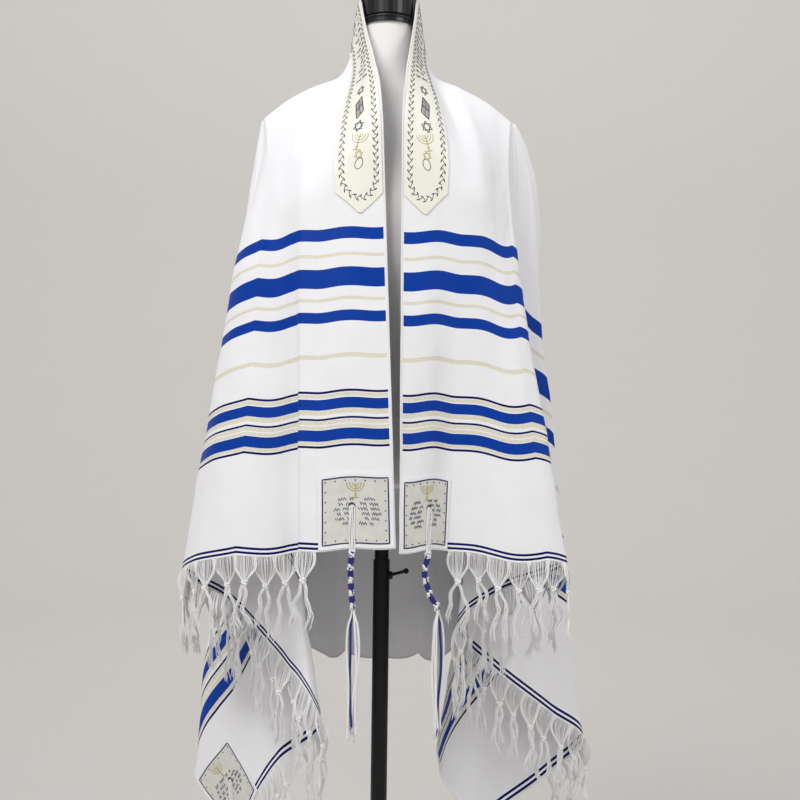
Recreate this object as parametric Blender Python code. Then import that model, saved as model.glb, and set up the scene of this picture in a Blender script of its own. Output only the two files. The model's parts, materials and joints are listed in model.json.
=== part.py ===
"""Tallit prayer shawl draped over a limbless dress form on a telescoping pole stand.

The shawl is one rectangle of cloth.  A point of it is named by u, the distance along the
long side from the middle of the neck edge, and v, the distance down from the neck edge.
The cloth is held along a ridge from the neck to the shoulder tip, and hangs from it in
falls: straight lines of cloth that leave the ridge, roll over the chest or back, and end on
the fringed end or on the lower long edge.  Past the shoulder tip the falls fan out of one
point, and the table of each side folds them to and fro.

World frame: +Z up, front towards -Y, origin at the middle of the base plate's underside.
'left' is the -X side.
"""

import math
import random

import bmesh
import bpy
import numpy as np
from mathutils import Vector
from mathutils.bvhtree import BVHTree

# ---------------------------------------------------------------- sizes, in metres
CLOTH_LENGTH = 1.83       # fringed end to fringed end
CLOTH_DROP = 1.03         # neck edge to lower edge
CLOTH_WALL = 0.0015
SIDE_SHIFT = 0.002        # the shawl sits this much further to the right
GAP = 0.0003              # between pieces that touch
SEAM_GAP = 0.0004         # between two stretches of the cloth
SEAM_MITRE = 0.35         # keeps a sharp corner of a stretch from being drawn in too far
LYING_GAP = 0.0009        # under what lies on the curved cloth

ROLL = 0.26               # cloth that rolls over chest or back before a fall runs straight
ROLL_STATIONS = (0.0, 0.025, 0.06, 0.10, 0.15, 0.20, ROLL)
STRAIGHT_ROWS = 5

PATCH_SIDE = 0.100
PATCH_INSET = 0.003
PATCH_WALL = 0.0012
PATCH_CELLS = 6
EYELET_INSET = 0.056      # from both cloth edges

BAND_WIDTH = 0.072
BAND_INSET = 0.003
BAND_HALF_LENGTH = 0.460
BAND_POINT = 0.028        # length of each pointed end
BAND_WALL = 0.0012
BAND_NAPE_CELLS = 8       # from the middle of the back to the ridge
BAND_FRONT_CELLS = 18     # from the ridge to the pointed end
BAND_ROWS = 4

FRINGE_GROUPS = 27
FRINGE_START = 0.105      # clear of the corner patches
STRIP_GAP = 0.0022        # wider than GAP, because the hem runs steeply at the folds
STRIP_HEIGHT = 0.004
STRIP_WALL = 0.0015
FRINGE_KNOT_DROP = 0.036
FRINGE_TAIL = 0.062
LOCK_STIFFNESS = 0.20     # how far a lock stands square off a slanting hem before it drops
TUCKED_GROUPS = {"left": (1,), "right": ()}  # hidden where the cloth is tucked over itself
LOCK_SHARE = 0.36         # of its group's length of hem, at the root
LOCK_PLANES = (0.0, 0.007)  # neighbours hang in turn at two depths
LOCK_CLEARANCE = 0.0075
STRAND_CLEARANCE = 0.0045

TASSEL_CORD_WIDTH = 0.0074
TASSEL_CORD_THICK = 0.0036
KNOT_HALF_WIDTH = 0.0048
WINDING_HALF_WIDTH = 0.0036
TASSEL_KNOTS = 5
TASSEL_COLUMN = 0.080
TASSEL_STRANDS = 0.168
TASSEL_LEAD = 0.006       # cord between the cloth's edge and the first knot
TASSEL_SWAY = {           # knotted columns that don't hang straight
    # share of the column, across
    "front_left": (
        (0.00, 0.000),
        (0.30, -0.002),
        (0.60, -0.001),
        (1.00, 0.002),
    ),
    "front_right": (
        (0.00, 0.000),
        (0.20, -0.003),
        (0.38, -0.005),
        (0.55, -0.002),
        (0.75, 0.003),
        (1.00, 0.014),
    ),
}

BASE_RADIUS = 0.180
BASE_THICK = 0.012
HUB_RADIUS = 0.024
HUB_HEIGHT = 0.030
OUTER_TUBE_RADIUS = 0.0120
INNER_TUBE_RADIUS = 0.0102
TUBE_PLAY = 0.0003
OUTER_TUBE_TOP = 0.816
TUBE_INSERTION = 0.30
BOSS_RADIUS = 0.0058
BOSS_REACH = 0.0165       # outer end from the pole's axis
BOSS_DROP = 0.0225        # below the outer tube's top
SCREW_RADIUS = 0.0024
SCREW_PLAY = 0.0004
SCREW_TIP_GAP = 0.0011    # from the outer tube's side
SCREW_REACH = 0.036       # knob centre from the pole's axis
SCREW_TILT = 15.0         # degrees, knob end up
KNOB_RADIUS = 0.0042
SOCKET_RADIUS = 0.045
SOCKET_THICK = 0.010
CAP_RADIUS = 0.036
CAP_HEIGHT = 0.048

# The ridge that carries the cloth, from the neck side to the shoulder tip.
RIDGE = (
    # share, u, v, out, y, z
    (0.00, 0.083, 0.000, 0.041, -0.002, 1.640),
    (0.25, 0.140, 0.068, 0.053, 0.018, 1.570),
    (0.42, 0.180, 0.103, 0.070, 0.012, 1.530),
    (0.60, 0.204, 0.123, 0.102, 0.006, 1.514),
    (0.80, 0.230, 0.149, 0.145, 0.002, 1.492),
    (1.00, 0.267, 0.176, 0.182, 0.000, 1.464),
)
NAPE_Y = 0.046            # cloth behind the neck
NAPE_RISE = 0.008
BACK_SHOULDER = 0.19      # u where the back fall of the shoulder tip ends

# Falls: how far the middle of each one's roll stands off a plain roll, where it passes the
# chest, and where it ends.  'run' goes along the fringed end from the neck edge and on along
# the lower edge to the middle of the back.  Near the neck the cloth keeps close round it
# before it comes forward over the chest.
FALLS = {
    # run, bend_out, bend_y, chest_out, chest_y, hem_out, hem_y
    "left": (
        (0.000, 0.004, 0.020, 0.004, -0.128, -0.020, -0.152),
        (0.050, -0.009, 0.017, 0.047, -0.128, 0.030, -0.160),
        (0.107, -0.009, 0.012, 0.094, -0.126, 0.086, -0.158),
        (0.136, -0.004, 0.008, 0.115, -0.122, 0.110, -0.152),
        (0.157, -0.002, 0.004, 0.124, -0.115, 0.106, -0.139),
        (0.180, 0.000, 0.002, 0.136, -0.108, 0.126, -0.129),
        (0.260, -0.004, 0.000, 0.174, -0.092, 0.196, -0.126),
        (0.330, -0.008, 0.000, 0.203, -0.072, 0.258, -0.095),
        (0.390, -0.010, 0.000, 0.218, -0.045, 0.284, -0.045),
        (0.470, -0.010, 0.000, 0.216, -0.020, 0.230, -0.010),
        (0.620, -0.008, 0.000, 0.200, -0.018, 0.146, -0.064),
        (0.735, 0.000, 0.000, 0.183, -0.016, 0.092, -0.099),
        (0.790, 0.000, 0.000, 0.180, -0.009, 0.079, -0.084),
        (0.880, 0.000, 0.000, 0.193, 0.010, 0.146, -0.020),
        (1.050, 0.000, 0.000, 0.212, 0.035, 0.214, 0.035),
        (1.170, -0.006, 0.000, 0.220, 0.055, 0.284, 0.093),
        (1.300, 0.000, 0.000, 0.209, 0.070, 0.187, 0.108),
        (1.365, 0.000, 0.000, 0.206, 0.076, 0.184, 0.130),
        (1.480, 0.000, 0.000, 0.203, 0.088, 0.250, 0.158),
        (1.600, 0.000, 0.000, 0.185, 0.102, 0.186, 0.182),
        (1.690, 0.000, 0.000, 0.160, 0.113, 0.148, 0.186),
        (1.765, 0.000, 0.000, 0.128, 0.117, 0.118, 0.172),
        (1.820, 0.000, 0.004, 0.094, 0.119, 0.088, 0.170),
        (1.860, 0.000, 0.000, 0.068, 0.114, 0.064, 0.166),
        (1.950, 0.000, 0.004, 0.000, 0.130, 0.000, 0.170),
    ),
    "right": (
        (0.000, 0.004, 0.020, 0.023, -0.128, 0.026, -0.152),
        (0.050, -0.008, 0.017, 0.067, -0.127, 0.059, -0.134),
        (0.107, -0.008, 0.012, 0.109, -0.120, 0.094, -0.106),
        (0.150, -0.002, 0.006, 0.138, -0.111, 0.132, -0.112),
        (0.230, 0.000, 0.000, 0.170, -0.095, 0.202, -0.122),
        (0.290, 0.000, 0.000, 0.187, -0.086, 0.250, -0.112),
        (0.308, 0.000, 0.000, 0.190, -0.080, 0.259, -0.104),
        (0.330, 0.000, 0.000, 0.186, -0.068, 0.248, -0.082),
        (0.420, 0.000, 0.000, 0.172, -0.050, 0.170, -0.045),
        (0.520, 0.003, 0.000, 0.168, -0.040, 0.114, -0.0635),
        (0.545, 0.004, 0.000, 0.171, -0.035, 0.109, -0.056),
        (0.572, 0.004, 0.000, 0.174, -0.030, 0.114, -0.047),
        (0.660, 0.006, 0.000, 0.190, -0.016, 0.165, -0.022),
        (0.780, 0.008, 0.000, 0.212, 0.000, 0.252, 0.014),
        (0.857, 0.008, 0.000, 0.228, 0.012, 0.304, 0.044),
        (0.940, 0.008, 0.000, 0.230, 0.026, 0.252, 0.062),
        (1.050, 0.007, 0.000, 0.222, 0.044, 0.158, 0.074),
        (1.165, 0.000, 0.000, 0.200, 0.060, 0.093, 0.090),
        (1.232, 0.000, 0.000, 0.196, 0.069, 0.088, 0.112),
        (1.330, 0.000, 0.000, 0.200, 0.077, 0.162, 0.126),
        (1.480, 0.000, 0.000, 0.203, 0.088, 0.256, 0.160),
        (1.600, 0.000, 0.000, 0.185, 0.102, 0.190, 0.184),
        (1.690, 0.000, 0.000, 0.160, 0.113, 0.150, 0.188),
        (1.765, 0.000, 0.000, 0.128, 0.117, 0.120, 0.174),
        (1.820, 0.000, 0.002, 0.094, 0.117, 0.090, 0.170),
        (1.860, 0.000, 0.000, 0.068, 0.110, 0.064, 0.166),
        (1.950, 0.000, 0.004, 0.000, 0.130, 0.000, 0.170),
    ),
}
TABLE_DROP = 1.05         # cloth drop and half length that the 'run' column counts
TABLE_HALF_LENGTH = 0.90

# The dress form, from its underside to the neck.
FORM = (
    # z, half_width, front, back
    (0.925, 0.104, 0.066, 0.080),
    (0.930, 0.132, 0.084, 0.100),
    (0.965, 0.142, 0.090, 0.108),
    (1.010, 0.146, 0.092, 0.108),
    (1.060, 0.142, 0.090, 0.098),
    (1.120, 0.134, 0.090, 0.088),
    (1.180, 0.140, 0.098, 0.088),
    (1.250, 0.154, 0.112, 0.096),
    (1.310, 0.166, 0.114, 0.106),
    (1.360, 0.171, 0.102, 0.108),
    (1.395, 0.168, 0.083, 0.096),
    (1.425, 0.152, 0.065, 0.078),
    (1.448, 0.130, 0.052, 0.060),
    (1.468, 0.100, 0.043, 0.050),
    (1.484, 0.073, 0.040, 0.045),
    (1.500, 0.052, 0.038, 0.042),
    (1.518, 0.040, 0.035, 0.038),
    (1.545, 0.035, 0.034, 0.036),
    (1.605, 0.034, 0.033, 0.035),
)
FORM_SIDES = 26

COLOURS = {               # base colour (linear RGB), metallic, roughness
    "woven_white": ((0.86, 0.86, 0.88), 0.0, 0.65),
    "ivory_satin": ((0.72, 0.71, 0.58), 0.0, 0.45),
    "white_cord": ((0.82, 0.82, 0.80), 0.0, 0.85),
    "form_jersey": ((0.74, 0.73, 0.72), 0.0, 0.80),
    "black_plastic": ((0.012, 0.012, 0.013), 0.0, 0.38),
    "white_plastic": ((0.74, 0.74, 0.73), 0.0, 0.40),
    "black_steel": ((0.015, 0.015, 0.016), 0.85, 0.42),
}


# ---------------------------------------------------------------- curves and tables
def smooth_curve(x, y, at):
    """Monotone cubic through (x, y): it never swings past its own points."""
    step = np.diff(x)
    rise = np.diff(y) / step
    slope = np.zeros(len(x))
    slope[0] = rise[0]
    slope[-1] = rise[-1]
    for i in range(1, len(x) - 1):
        if rise[i - 1] * rise[i] > 0.0:
            before = 2.0 * step[i] + step[i - 1]
            after = step[i] + 2.0 * step[i - 1]
            slope[i] = (before + after) / (before / rise[i - 1] + after / rise[i])
    i = int(np.clip(np.searchsorted(x, at, side="right") - 1, 0, len(x) - 2))
    t = (at - x[i]) / step[i]
    return (
        (2 * t**3 - 3 * t**2 + 1) * y[i]
        + (t**3 - 2 * t**2 + t) * step[i] * slope[i]
        + (3 * t**2 - 2 * t**3) * y[i + 1]
        + (t**3 - t**2) * step[i] * slope[i + 1]
    )


def read_table(rows, at):
    """Every column after the first, at one value of the first column."""
    table = np.array(rows, dtype=float)
    return [float(smooth_curve(table[:, 0], table[:, k], at)) for k in range(1, table.shape[1])]


# ---------------------------------------------------------------- the drape
class Side:
    """One half of the shawl, from the middle of the back round to the front edge."""

    def __init__(self, name):
        self.name = name
        self.sign = -1.0 if name == "left" else 1.0
        self.half = CLOTH_LENGTH / 2 + self.sign * SIDE_SHIFT
        self.nape = RIDGE[0][1]
        self.tip = (RIDGE[-1][1], RIDGE[-1][2])
        self.total = CLOTH_DROP + self.half
        self.pitch = (CLOTH_DROP - 2 * FRINGE_START) / FRINGE_GROUPS
        self.front_turn = FRINGE_START + 5 * self.pitch
        self.back_turn = self.total - BACK_SHOULDER
        self.nape_run = self.total - self.nape
        self.columns = self.make_columns()

    def end_of(self, run):
        """Cloth point at the end of a fall."""
        if run <= CLOTH_DROP:
            return self.half, run
        return self.half - (run - CLOTH_DROP), CLOTH_DROP

    def ridge(self, share):
        u, v, out, y, z = read_table(RIDGE, share)
        return (u, v), (out, y, z)

    def ridge_share(self, run):
        """Place on the ridge where a fall starts: 0 at the neck side, 1 at the tip."""
        if run <= self.front_turn:
            return run / self.front_turn
        if run <= self.back_turn:
            return 1.0
        return max(0.0, (self.nape_run - run) / (self.nape_run - self.back_turn))

    def start_of(self, run):
        """Cloth point and place at the start of a fall."""
        if run <= self.nape_run:
            return self.ridge(self.ridge_share(run))
        u = self.total - run
        turn = u / self.nape * math.pi / 2
        out, y, z = RIDGE[0][3:]
        back = math.cos(turn)
        return (u, 0.0), (out * math.sin(turn), y + (NAPE_Y - y) * back, z + NAPE_RISE * back)

    def table_run(self, run):
        if run <= CLOTH_DROP:
            return run * TABLE_DROP / CLOTH_DROP
        return TABLE_DROP + (run - CLOTH_DROP) * TABLE_HALF_LENGTH / self.half

    def fall(self, run, steps=240):
        """Cloth distances along a fall, with the place and the cloth point at each."""
        row = read_table(FALLS[self.name], self.table_run(run))
        bend_out, bend_y, chest_out, chest_y, hem_out, hem_y = row
        (u0, v0), (out, y, z) = self.start_of(run)
        u1, v1 = self.end_of(run)
        length = math.hypot(u1 - u0, v1 - v0)
        start = np.array((out, y))
        chest = np.array((chest_out, chest_y))
        bend = np.array((bend_out, bend_y)) / ROLL
        hang = (np.array((hem_out, hem_y)) - chest) / (length - ROLL)
        lean = 2.0 * (chest - start) / ROLL - hang
        along = np.linspace(0.0, length, steps + 1)
        middle = (along[1:] + along[:-1]) / 2
        ahead = 1.0 - np.clip(middle / ROLL, 0.0, 1.0)[:, None]
        slope = hang + (lean - hang) * ahead + bend * (24.0 * ahead**2 - 16.0 * ahead)
        level = slope * (length / steps)
        steep = np.sqrt(np.clip(1.0 - np.sum(slope**2, axis=1), 0.0025, None))
        places = np.zeros((steps + 1, 3))
        places[1:, 0] = np.cumsum(level[:, 0])
        places[1:, 1] = np.cumsum(level[:, 1])
        places[1:, 2] = -np.cumsum(steep) * length / steps
        places += (out, y, z)
        places[:, 0] *= self.sign
        share = along / length
        cloth = np.stack((u0 + (u1 - u0) * share, v0 + (v1 - v0) * share), axis=1)
        return along, places, cloth

    def runs(self):
        """Where the falls stand that carry the CAD wall, closer over the fringe groups."""
        step = self.pitch
        front = [FRINGE_START * k / 3 for k in range(3)]
        front += [FRINGE_START + step * k for k in range(6)]
        fan = [self.front_turn + step * k for k in range(1, FRINGE_GROUPS - 4)]
        fan_end = CLOTH_DROP + FRINGE_START
        fan += [fan[-1] + (fan_end - fan[-1]) * k / 6 for k in range(1, 7)]
        count = round((self.back_turn - fan_end) / 0.036)
        fan += [fan_end + (self.back_turn - fan_end) * k / count for k in range(1, count + 1)]
        spread = self.nape_run - self.back_turn
        back = [self.nape_run - spread * run / self.front_turn for run in reversed(front[:-1])]
        nape = [self.nape_run + self.nape * k / 5 for k in range(1, 6)]
        return front + fan + back + nape

    def make_columns(self):
        columns = []
        for run in self.runs():
            along, places, cloth = self.fall(run)
            length = along[-1]
            stations = list(ROLL_STATIONS)
            stations += [
                ROLL + (length - ROLL) * k / STRAIGHT_ROWS for k in range(1, STRAIGHT_ROWS + 1)
            ]
            columns.append({
                "run": run,
                "length": length,
                "stations": np.array(stations),
                "places": np.stack([np.interp(stations, along, places[:, k]) for k in range(3)], 1),
            })
        return columns

    def locate(self, u, v):
        """The run and the cloth distance of the fall through a cloth point."""
        if u <= self.nape and v <= 1e-9:
            return self.total - u, 0.0
        du = u - self.tip[0]
        dv = v - self.tip[1]
        front_slope = (self.front_turn - self.tip[1]) / (self.half - self.tip[0])
        back_slope = (BACK_SHOULDER - self.tip[0]) / (CLOTH_DROP - self.tip[1])
        if dv > du * front_slope and (du > dv * back_slope):
            reach_v = self.tip[1] + (self.half - self.tip[0]) * dv / du if du > 0 else 9.0
            if reach_v <= CLOTH_DROP:
                return reach_v, math.hypot(du, dv)
            reach_u = self.tip[0] + (CLOTH_DROP - self.tip[1]) * du / dv
            return CLOTH_DROP + self.half - reach_u, math.hypot(du, dv)
        low, high = 0.0, 1.0
        in_front = u > self.ridge_u(v)
        if not in_front and u <= self.nape and self.miss(0.0, False, u, v) <= 0.0:
            return self.total - u, v
        for _ in range(40):
            share = (low + high) / 2
            if self.miss(share, in_front, u, v) > 0.0:
                low = share
            else:
                high = share
        (u0, v0), _place = self.ridge(share)
        return self.run_from_ridge(share, in_front), math.hypot(u - u0, v - v0)

    def ridge_u(self, v):
        """Where the ridge crosses a line of the cloth that runs along its neck edge."""
        low, high = 0.0, 1.0
        for _ in range(40):
            share = (low + high) / 2
            if self.ridge(share)[0][1] < v:
                low = share
            else:
                high = share
        return self.ridge(high)[0][0]

    def run_from_ridge(self, share, in_front):
        if in_front:
            return self.front_turn * share
        return self.nape_run - (self.nape_run - self.back_turn) * share

    def miss(self, share, in_front, u, v):
        """How far a cloth point is beyond the fall that starts at a place on the ridge."""
        (u0, v0), _place = self.ridge(share)
        u1, v1 = self.end_of(self.run_from_ridge(share, in_front))
        if in_front:
            return v - (v0 + (v1 - v0) * (u - u0) / (u1 - u0))
        return u - (u0 + (u1 - u0) * (v - v0) / (v1 - v0))

    def find(self, u, v):
        """The cell of a cloth point and its shares across and down that cell."""
        run, distance = self.locate(u, v)
        runs = [column["run"] for column in self.columns]
        i = int(np.clip(np.searchsorted(runs, run, side="right") - 1, 0, len(runs) - 2))
        across = (run - runs[i]) / (runs[i + 1] - runs[i])
        near = self.columns[i]["stations"]
        far = self.columns[i + 1]["stations"]
        rows = near * (1 - across) + far * across
        j = int(np.clip(np.searchsorted(rows, distance, side="right") - 1, 0, len(rows) - 2))
        return i, j, across, (distance - rows[j]) / (rows[j + 1] - rows[j])


def pushed_clear(tree, place, clearance):
    """A hanging point moved level away from the cloth until it is this far off."""
    for _ in range(4):
        nearest, _normal, _face, distance = tree.find_nearest(place)
        if distance >= clearance:
            break
        away = place - nearest
        away.z = 0.0
        place = place + away.normalized() * (clearance - distance + 0.0005)
    return place


class Drape:
    """The whole shawl's middle surface: shared vertices, faces and normals."""

    def __init__(self):
        self.sides = {name: Side(name) for name in FALLS}
        self.vertices = []
        self.keys = {}
        self.index = {}
        for name, side in self.sides.items():
            for i in range(len(side.columns)):
                self.add_column(name, side, i)
        self.faces = []
        self.stretches = {}
        self.add_faces("left", True)
        self.add_faces("right", False)
        self.normals = self.make_normals()
        self.tree = BVHTree.FromPolygons(self.vertices, self.faces)

    def vertex(self, key, place):
        if key not in self.keys:
            self.keys[key] = len(self.vertices)
            self.vertices.append(tuple(place))
        return self.keys[key]

    def add_column(self, name, side, i):
        column = side.columns[i]
        last = len(side.columns) - 1
        for j, place in enumerate(column["places"]):
            if j == 0 and column["run"] <= side.nape_run + 1e-9:
                share = round(side.ridge_share(column["run"]), 6)
                key = (name, "ridge", share)
            elif i == last:
                key = ("back", j)
            else:
                key = (name, i, j)
            self.index[name, i, j] = self.vertex(key, place)

    def add_faces(self, name, flip):
        columns = self.sides[name].columns
        for i in range(len(columns) - 1):
            stretch = self.stretches.setdefault(self.stretch_name(name, columns[i]["run"]), [])
            for j in range(len(columns[i]["stations"]) - 1):
                near = [self.index[name, i, j], self.index[name, i, j + 1]]
                far = [self.index[name, i + 1, j], self.index[name, i + 1, j + 1]]
                for face in ([*near, far[1]], [near[0], far[1], far[0]]):
                    if len(set(face)) == 3:
                        stretch.append(face[::-1] if flip else face)
                        self.faces.append(stretch[-1])

    def stretch_name(self, name, run):
        """The stretch of cloth that starts or goes on at a fall."""
        side = self.sides[name]
        if run < side.front_turn - 1e-9:
            return f"shawl_front_{name}"
        if run < side.back_turn - 1e-9:
            return f"shawl_side_{name}"
        return "shawl_back"

    def make_normals(self):
        bm = bmesh.new()
        verts = [bm.verts.new(place) for place in self.vertices]
        for face in self.faces:
            bm.faces.new([verts[k] for k in face])
        bm.normal_update()
        normals = [tuple(vert.normal) for vert in verts]
        bm.free()
        return np.array(normals)

    def point(self, u, v):
        """Place and outward normal of a cloth point; u is below zero on the left side."""
        name = "left" if u < 0.0 else "right"
        side = self.sides[name]
        i, j, across, down = side.find(abs(u), v)
        first = self.index[name, i, j]
        last = self.index[name, i + 1, j + 1]
        if down >= across:
            third = self.index[name, i, j + 1]
            weights = (1 - down, down - across, across)
        else:
            third = self.index[name, i + 1, j]
            weights = (1 - across, across - down, down)
        corners = (first, third, last)
        place = sum(w * np.array(self.vertices[k]) for w, k in zip(weights, corners))
        normal = sum(w * self.normals[k] for w, k in zip(weights, corners))
        return place, normal / np.linalg.norm(normal)


# ---------------------------------------------------------------- building helpers
def material(name):
    found = bpy.data.materials.get(name)
    if found:
        return found
    colour, metallic, roughness = COLOURS[name]
    made = bpy.data.materials.new(name)
    made.use_nodes = True
    shader = made.node_tree.nodes["Principled BSDF"]
    shader.inputs["Base Color"].default_value = (*colour, 1.0)
    shader.inputs["Metallic"].default_value = metallic
    shader.inputs["Roughness"].default_value = roughness
    made.diffuse_color = (*colour, 1.0)
    return made


def finish_object(name, bm, finish, smooth_angle=40.0):
    bmesh.ops.recalc_face_normals(bm, faces=bm.faces)
    mesh = bpy.data.meshes.new(name)
    bm.to_mesh(mesh)
    bm.free()
    mesh.materials.append(material(finish))
    mesh.shade_smooth()
    mesh.set_sharp_from_angle(angle=math.radians(smooth_angle))
    made = bpy.data.objects.new(name, mesh)
    bpy.context.scene.collection.objects.link(made)
    return made


def wall_from_surface(name, places, normals, faces, low, high, finish):
    """A closed wall between two offsets, low and high, of an open surface."""
    bm = bmesh.new()
    places = np.array(places)
    normals = np.array(normals)
    inner = [bm.verts.new(place) for place in places + normals * low]
    outer = [bm.verts.new(place) for place in places + normals * high]
    uses = {}
    for face in faces:
        bm.faces.new([outer[k] for k in face])
        bm.faces.new([inner[k] for k in reversed(face)])
        for a, b in zip(face, face[1:] + face[:1]):
            uses.setdefault(frozenset((a, b)), []).append((a, b))
    for sides in uses.values():
        if len(sides) == 1:
            a, b = sides[0]
            bm.faces.new((outer[b], outer[a], inner[a], inner[b]))
    return finish_object(name, bm, finish)


def grid_faces(across, down):
    """Triangles of a grid whose vertices are numbered down each column in turn."""
    faces = []
    for i in range(across - 1):
        for j in range(down - 1):
            k = i * down + j
            faces.append([k, k + 1, k + down + 1])
            faces.append([k, k + down + 1, k + down])
    return faces


def turned(name, profile, sides, finish, capped=True):
    """A solid turned round the Z axis from (radius, z) pairs, listed bottom to top."""
    bm = bmesh.new()
    rings = []
    for radius, z in profile:
        ring = []
        for k in range(sides):
            angle = 2 * math.pi * k / sides
            ring.append(bm.verts.new((radius * math.cos(angle), radius * math.sin(angle), z)))
        rings.append(ring)
    for low, high in zip(rings, rings[1:]):
        bridge(bm, low, high)
    if capped:
        bm.faces.new(rings[0][::-1])
        bm.faces.new(rings[-1])
    else:
        bridge(bm, rings[-1], rings[0])
    return finish_object(name, bm, finish)


def bridge(bm, low, high):
    for k in range(len(low)):
        m = (k + 1) % len(low)
        bm.faces.new((low[k], low[m], high[m], high[k]))


def box_ring(bm, centre, across, deep, half_across, half_deep):
    """Four corners of a rod's cross-section."""
    corners = []
    for a, d in ((-1, -1), (1, -1), (1, 1), (-1, 1)):
        corners.append(bm.verts.new(centre + across * (a * half_across) + deep * (d * half_deep)))
    return corners


def split_into_strands(bm, ring, centre, across, deep, cells, half_sizes, tails, tree, plane=0.0):
    """Ends a rod in a grid of strands with flat gaps between them.

    cells gives the number of strands across and deep, half_sizes the grid's half extents,
    and tails one list of (offset across, offset deep, drop) steps for each strand.
    """
    columns = 2 * cells[0] - 1
    rows = 2 * cells[1] - 1
    grid = {}
    for i in range(columns + 1):
        for j in range(rows + 1):
            a = (2 * i / columns - 1) * half_sizes[0]
            d = (2 * j / rows - 1) * half_sizes[1]
            grid[i, j] = bm.verts.new(centre + across * a + deep * d)
    edge_across = [[grid[i, 0] for i in range(columns + 1)]]
    edge_across.append([grid[columns, j] for j in range(rows + 1)])
    edge_across.append([grid[i, rows] for i in range(columns, -1, -1)])
    edge_across.append([grid[0, j] for j in range(rows, -1, -1)])
    for k, edge in enumerate(edge_across):
        bm.faces.new([ring[k], *edge, ring[(k + 1) % 4]])
    strand = 0
    for i in range(columns):
        for j in range(rows):
            cell = [grid[i, j], grid[i + 1, j], grid[i + 1, j + 1], grid[i, j + 1]]
            if i % 2 or j % 2:
                bm.faces.new(cell)
                continue
            for shift_across, shift_deep, drop, size in tails[strand]:
                middle = sum((vert.co for vert in cell), Vector()) / 4
                shift = across * shift_across + deep * shift_deep + Vector((0, 0, -drop))
                target = pushed_clear(tree, middle + shift, STRAND_CLEARANCE + plane)
                lower = [bm.verts.new(target + (vert.co - middle) * size) for vert in cell]
                bridge(bm, cell, lower)
                cell = lower
            bm.faces.new(cell)
            strand += 1


# ---------------------------------------------------------------- the cloth pieces
def make_cloth(drape):
    """The shawl in five stretches: two fronts, two folded sides and the back."""
    half = CLOTH_WALL / 2
    for name, faces in drape.stretches.items():
        used = sorted({k for face in faces for k in face})
        number = {k: n for n, k in enumerate(used)}
        places = drawn_in(drape, faces)[used]
        own = [[number[k] for k in face] for face in faces]
        wall_from_surface(name, places, drape.normals[used], own, -half, half, "woven_white")


def drawn_in(drape, faces):
    """The drape's vertices, with those on a stretch's seams half a gap inside the stretch."""
    places = np.array(drape.vertices)
    shared = {}
    for face in drape.faces:
        for a, b in zip(face, face[1:] + face[:1]):
            shared[frozenset((a, b))] = shared.get(frozenset((a, b)), 0) + 1
    rims = {}
    for face in faces:
        for k in range(3):
            edge = frozenset((face[k], face[(k + 1) % 3]))
            rims.setdefault(edge, []).append((face[k], face[(k + 1) % 3], face[(k + 2) % 3]))
    inward = {}
    for edge, uses in rims.items():
        if len(uses) == 2 or shared[edge] == 1:
            continue
        a, b, c = uses[0]
        along = places[b] - places[a]
        along /= np.linalg.norm(along)
        across = places[c] - places[a]
        across -= along * np.dot(across, along)
        for k in (a, b):
            inward.setdefault(k, []).append(across / np.linalg.norm(across))
    moved = places.copy()
    for k, directions in inward.items():
        total = sum(directions)
        if len(directions) == 2:
            total /= max(1.0 + np.dot(*directions), SEAM_MITRE)
        moved[k] += total * (SEAM_GAP / 2)
    return moved


def lying_piece(name, drape, across, down, cloth_points, wall):
    """A flat piece that lies on the cloth's outer face."""
    places = []
    normals = []
    for u, v in cloth_points:
        place, normal = drape.point(u, v)
        places.append(place)
        normals.append(normal)
    faces = grid_faces(across, down)
    places = np.array(places)
    normals = np.array(normals)
    low = lifted_clear(drape.tree, places, normals, faces)[:, None]
    return wall_from_surface(name, places, normals, faces, low, low + wall, "ivory_satin")


def lifted_clear(tree, places, normals, faces):
    """Lift of each point that keeps the flat faces between them off the cloth's bends."""
    lift = np.full(len(places), CLOTH_WALL / 2 + LYING_GAP)
    least = CLOTH_WALL / 2 + LYING_GAP * 0.6
    parts = range(5)
    samples = [(a / 4, b / 4, (4 - a - b) / 4) for a in parts for b in parts if a + b <= 4]
    for _ in range(12):
        raised = places + normals * lift[:, None]
        for face in faces:
            corners = raised[face]
            out = Vector(normals[face].sum(axis=0)).normalized()
            short = 0.0
            for weights in samples:
                place = Vector(np.array(weights) @ corners)
                nearest, _normal, _face, distance = tree.find_nearest(place)
                height = math.copysign(distance, (place - nearest).dot(out))
                short = max(short, least - height)
            lift[face] += short * 0.5
    return lift


def make_neckband(drape):
    """The band's columns turn with the ridge, so that none spans it."""
    middle = BAND_INSET + BAND_WIDTH / 2
    half = BAND_WIDTH / 2
    points = []
    for column in range(-BAND_FRONT_CELLS - BAND_NAPE_CELLS, BAND_FRONT_CELLS + BAND_NAPE_CELLS + 1):
        side = drape.sides["left" if column < 0 else "right"]
        past_ridge = (abs(column) - BAND_NAPE_CELLS) / BAND_FRONT_CELLS
        for j in range(BAND_ROWS + 1):
            v = middle + half * (2 * j / BAND_ROWS - 1)
            turn = side.ridge_u(v)
            if past_ridge <= 0.0:
                u = turn * abs(column) / BAND_NAPE_CELLS
            else:
                u = turn + (BAND_HALF_LENGTH - turn) * past_ridge
            to_tip = (BAND_HALF_LENGTH - u) / BAND_POINT
            narrow = min(1.0, 0.10 + 0.90 * to_tip)
            points.append((math.copysign(u, column), middle + (v - middle) * narrow))
    across = 2 * (BAND_FRONT_CELLS + BAND_NAPE_CELLS) + 1
    return lying_piece("neckband", drape, across, BAND_ROWS + 1, points, BAND_WALL)


def corner_names():
    return [(side, edge) for side in ("left", "right") for edge in ("front", "back")]


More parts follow.
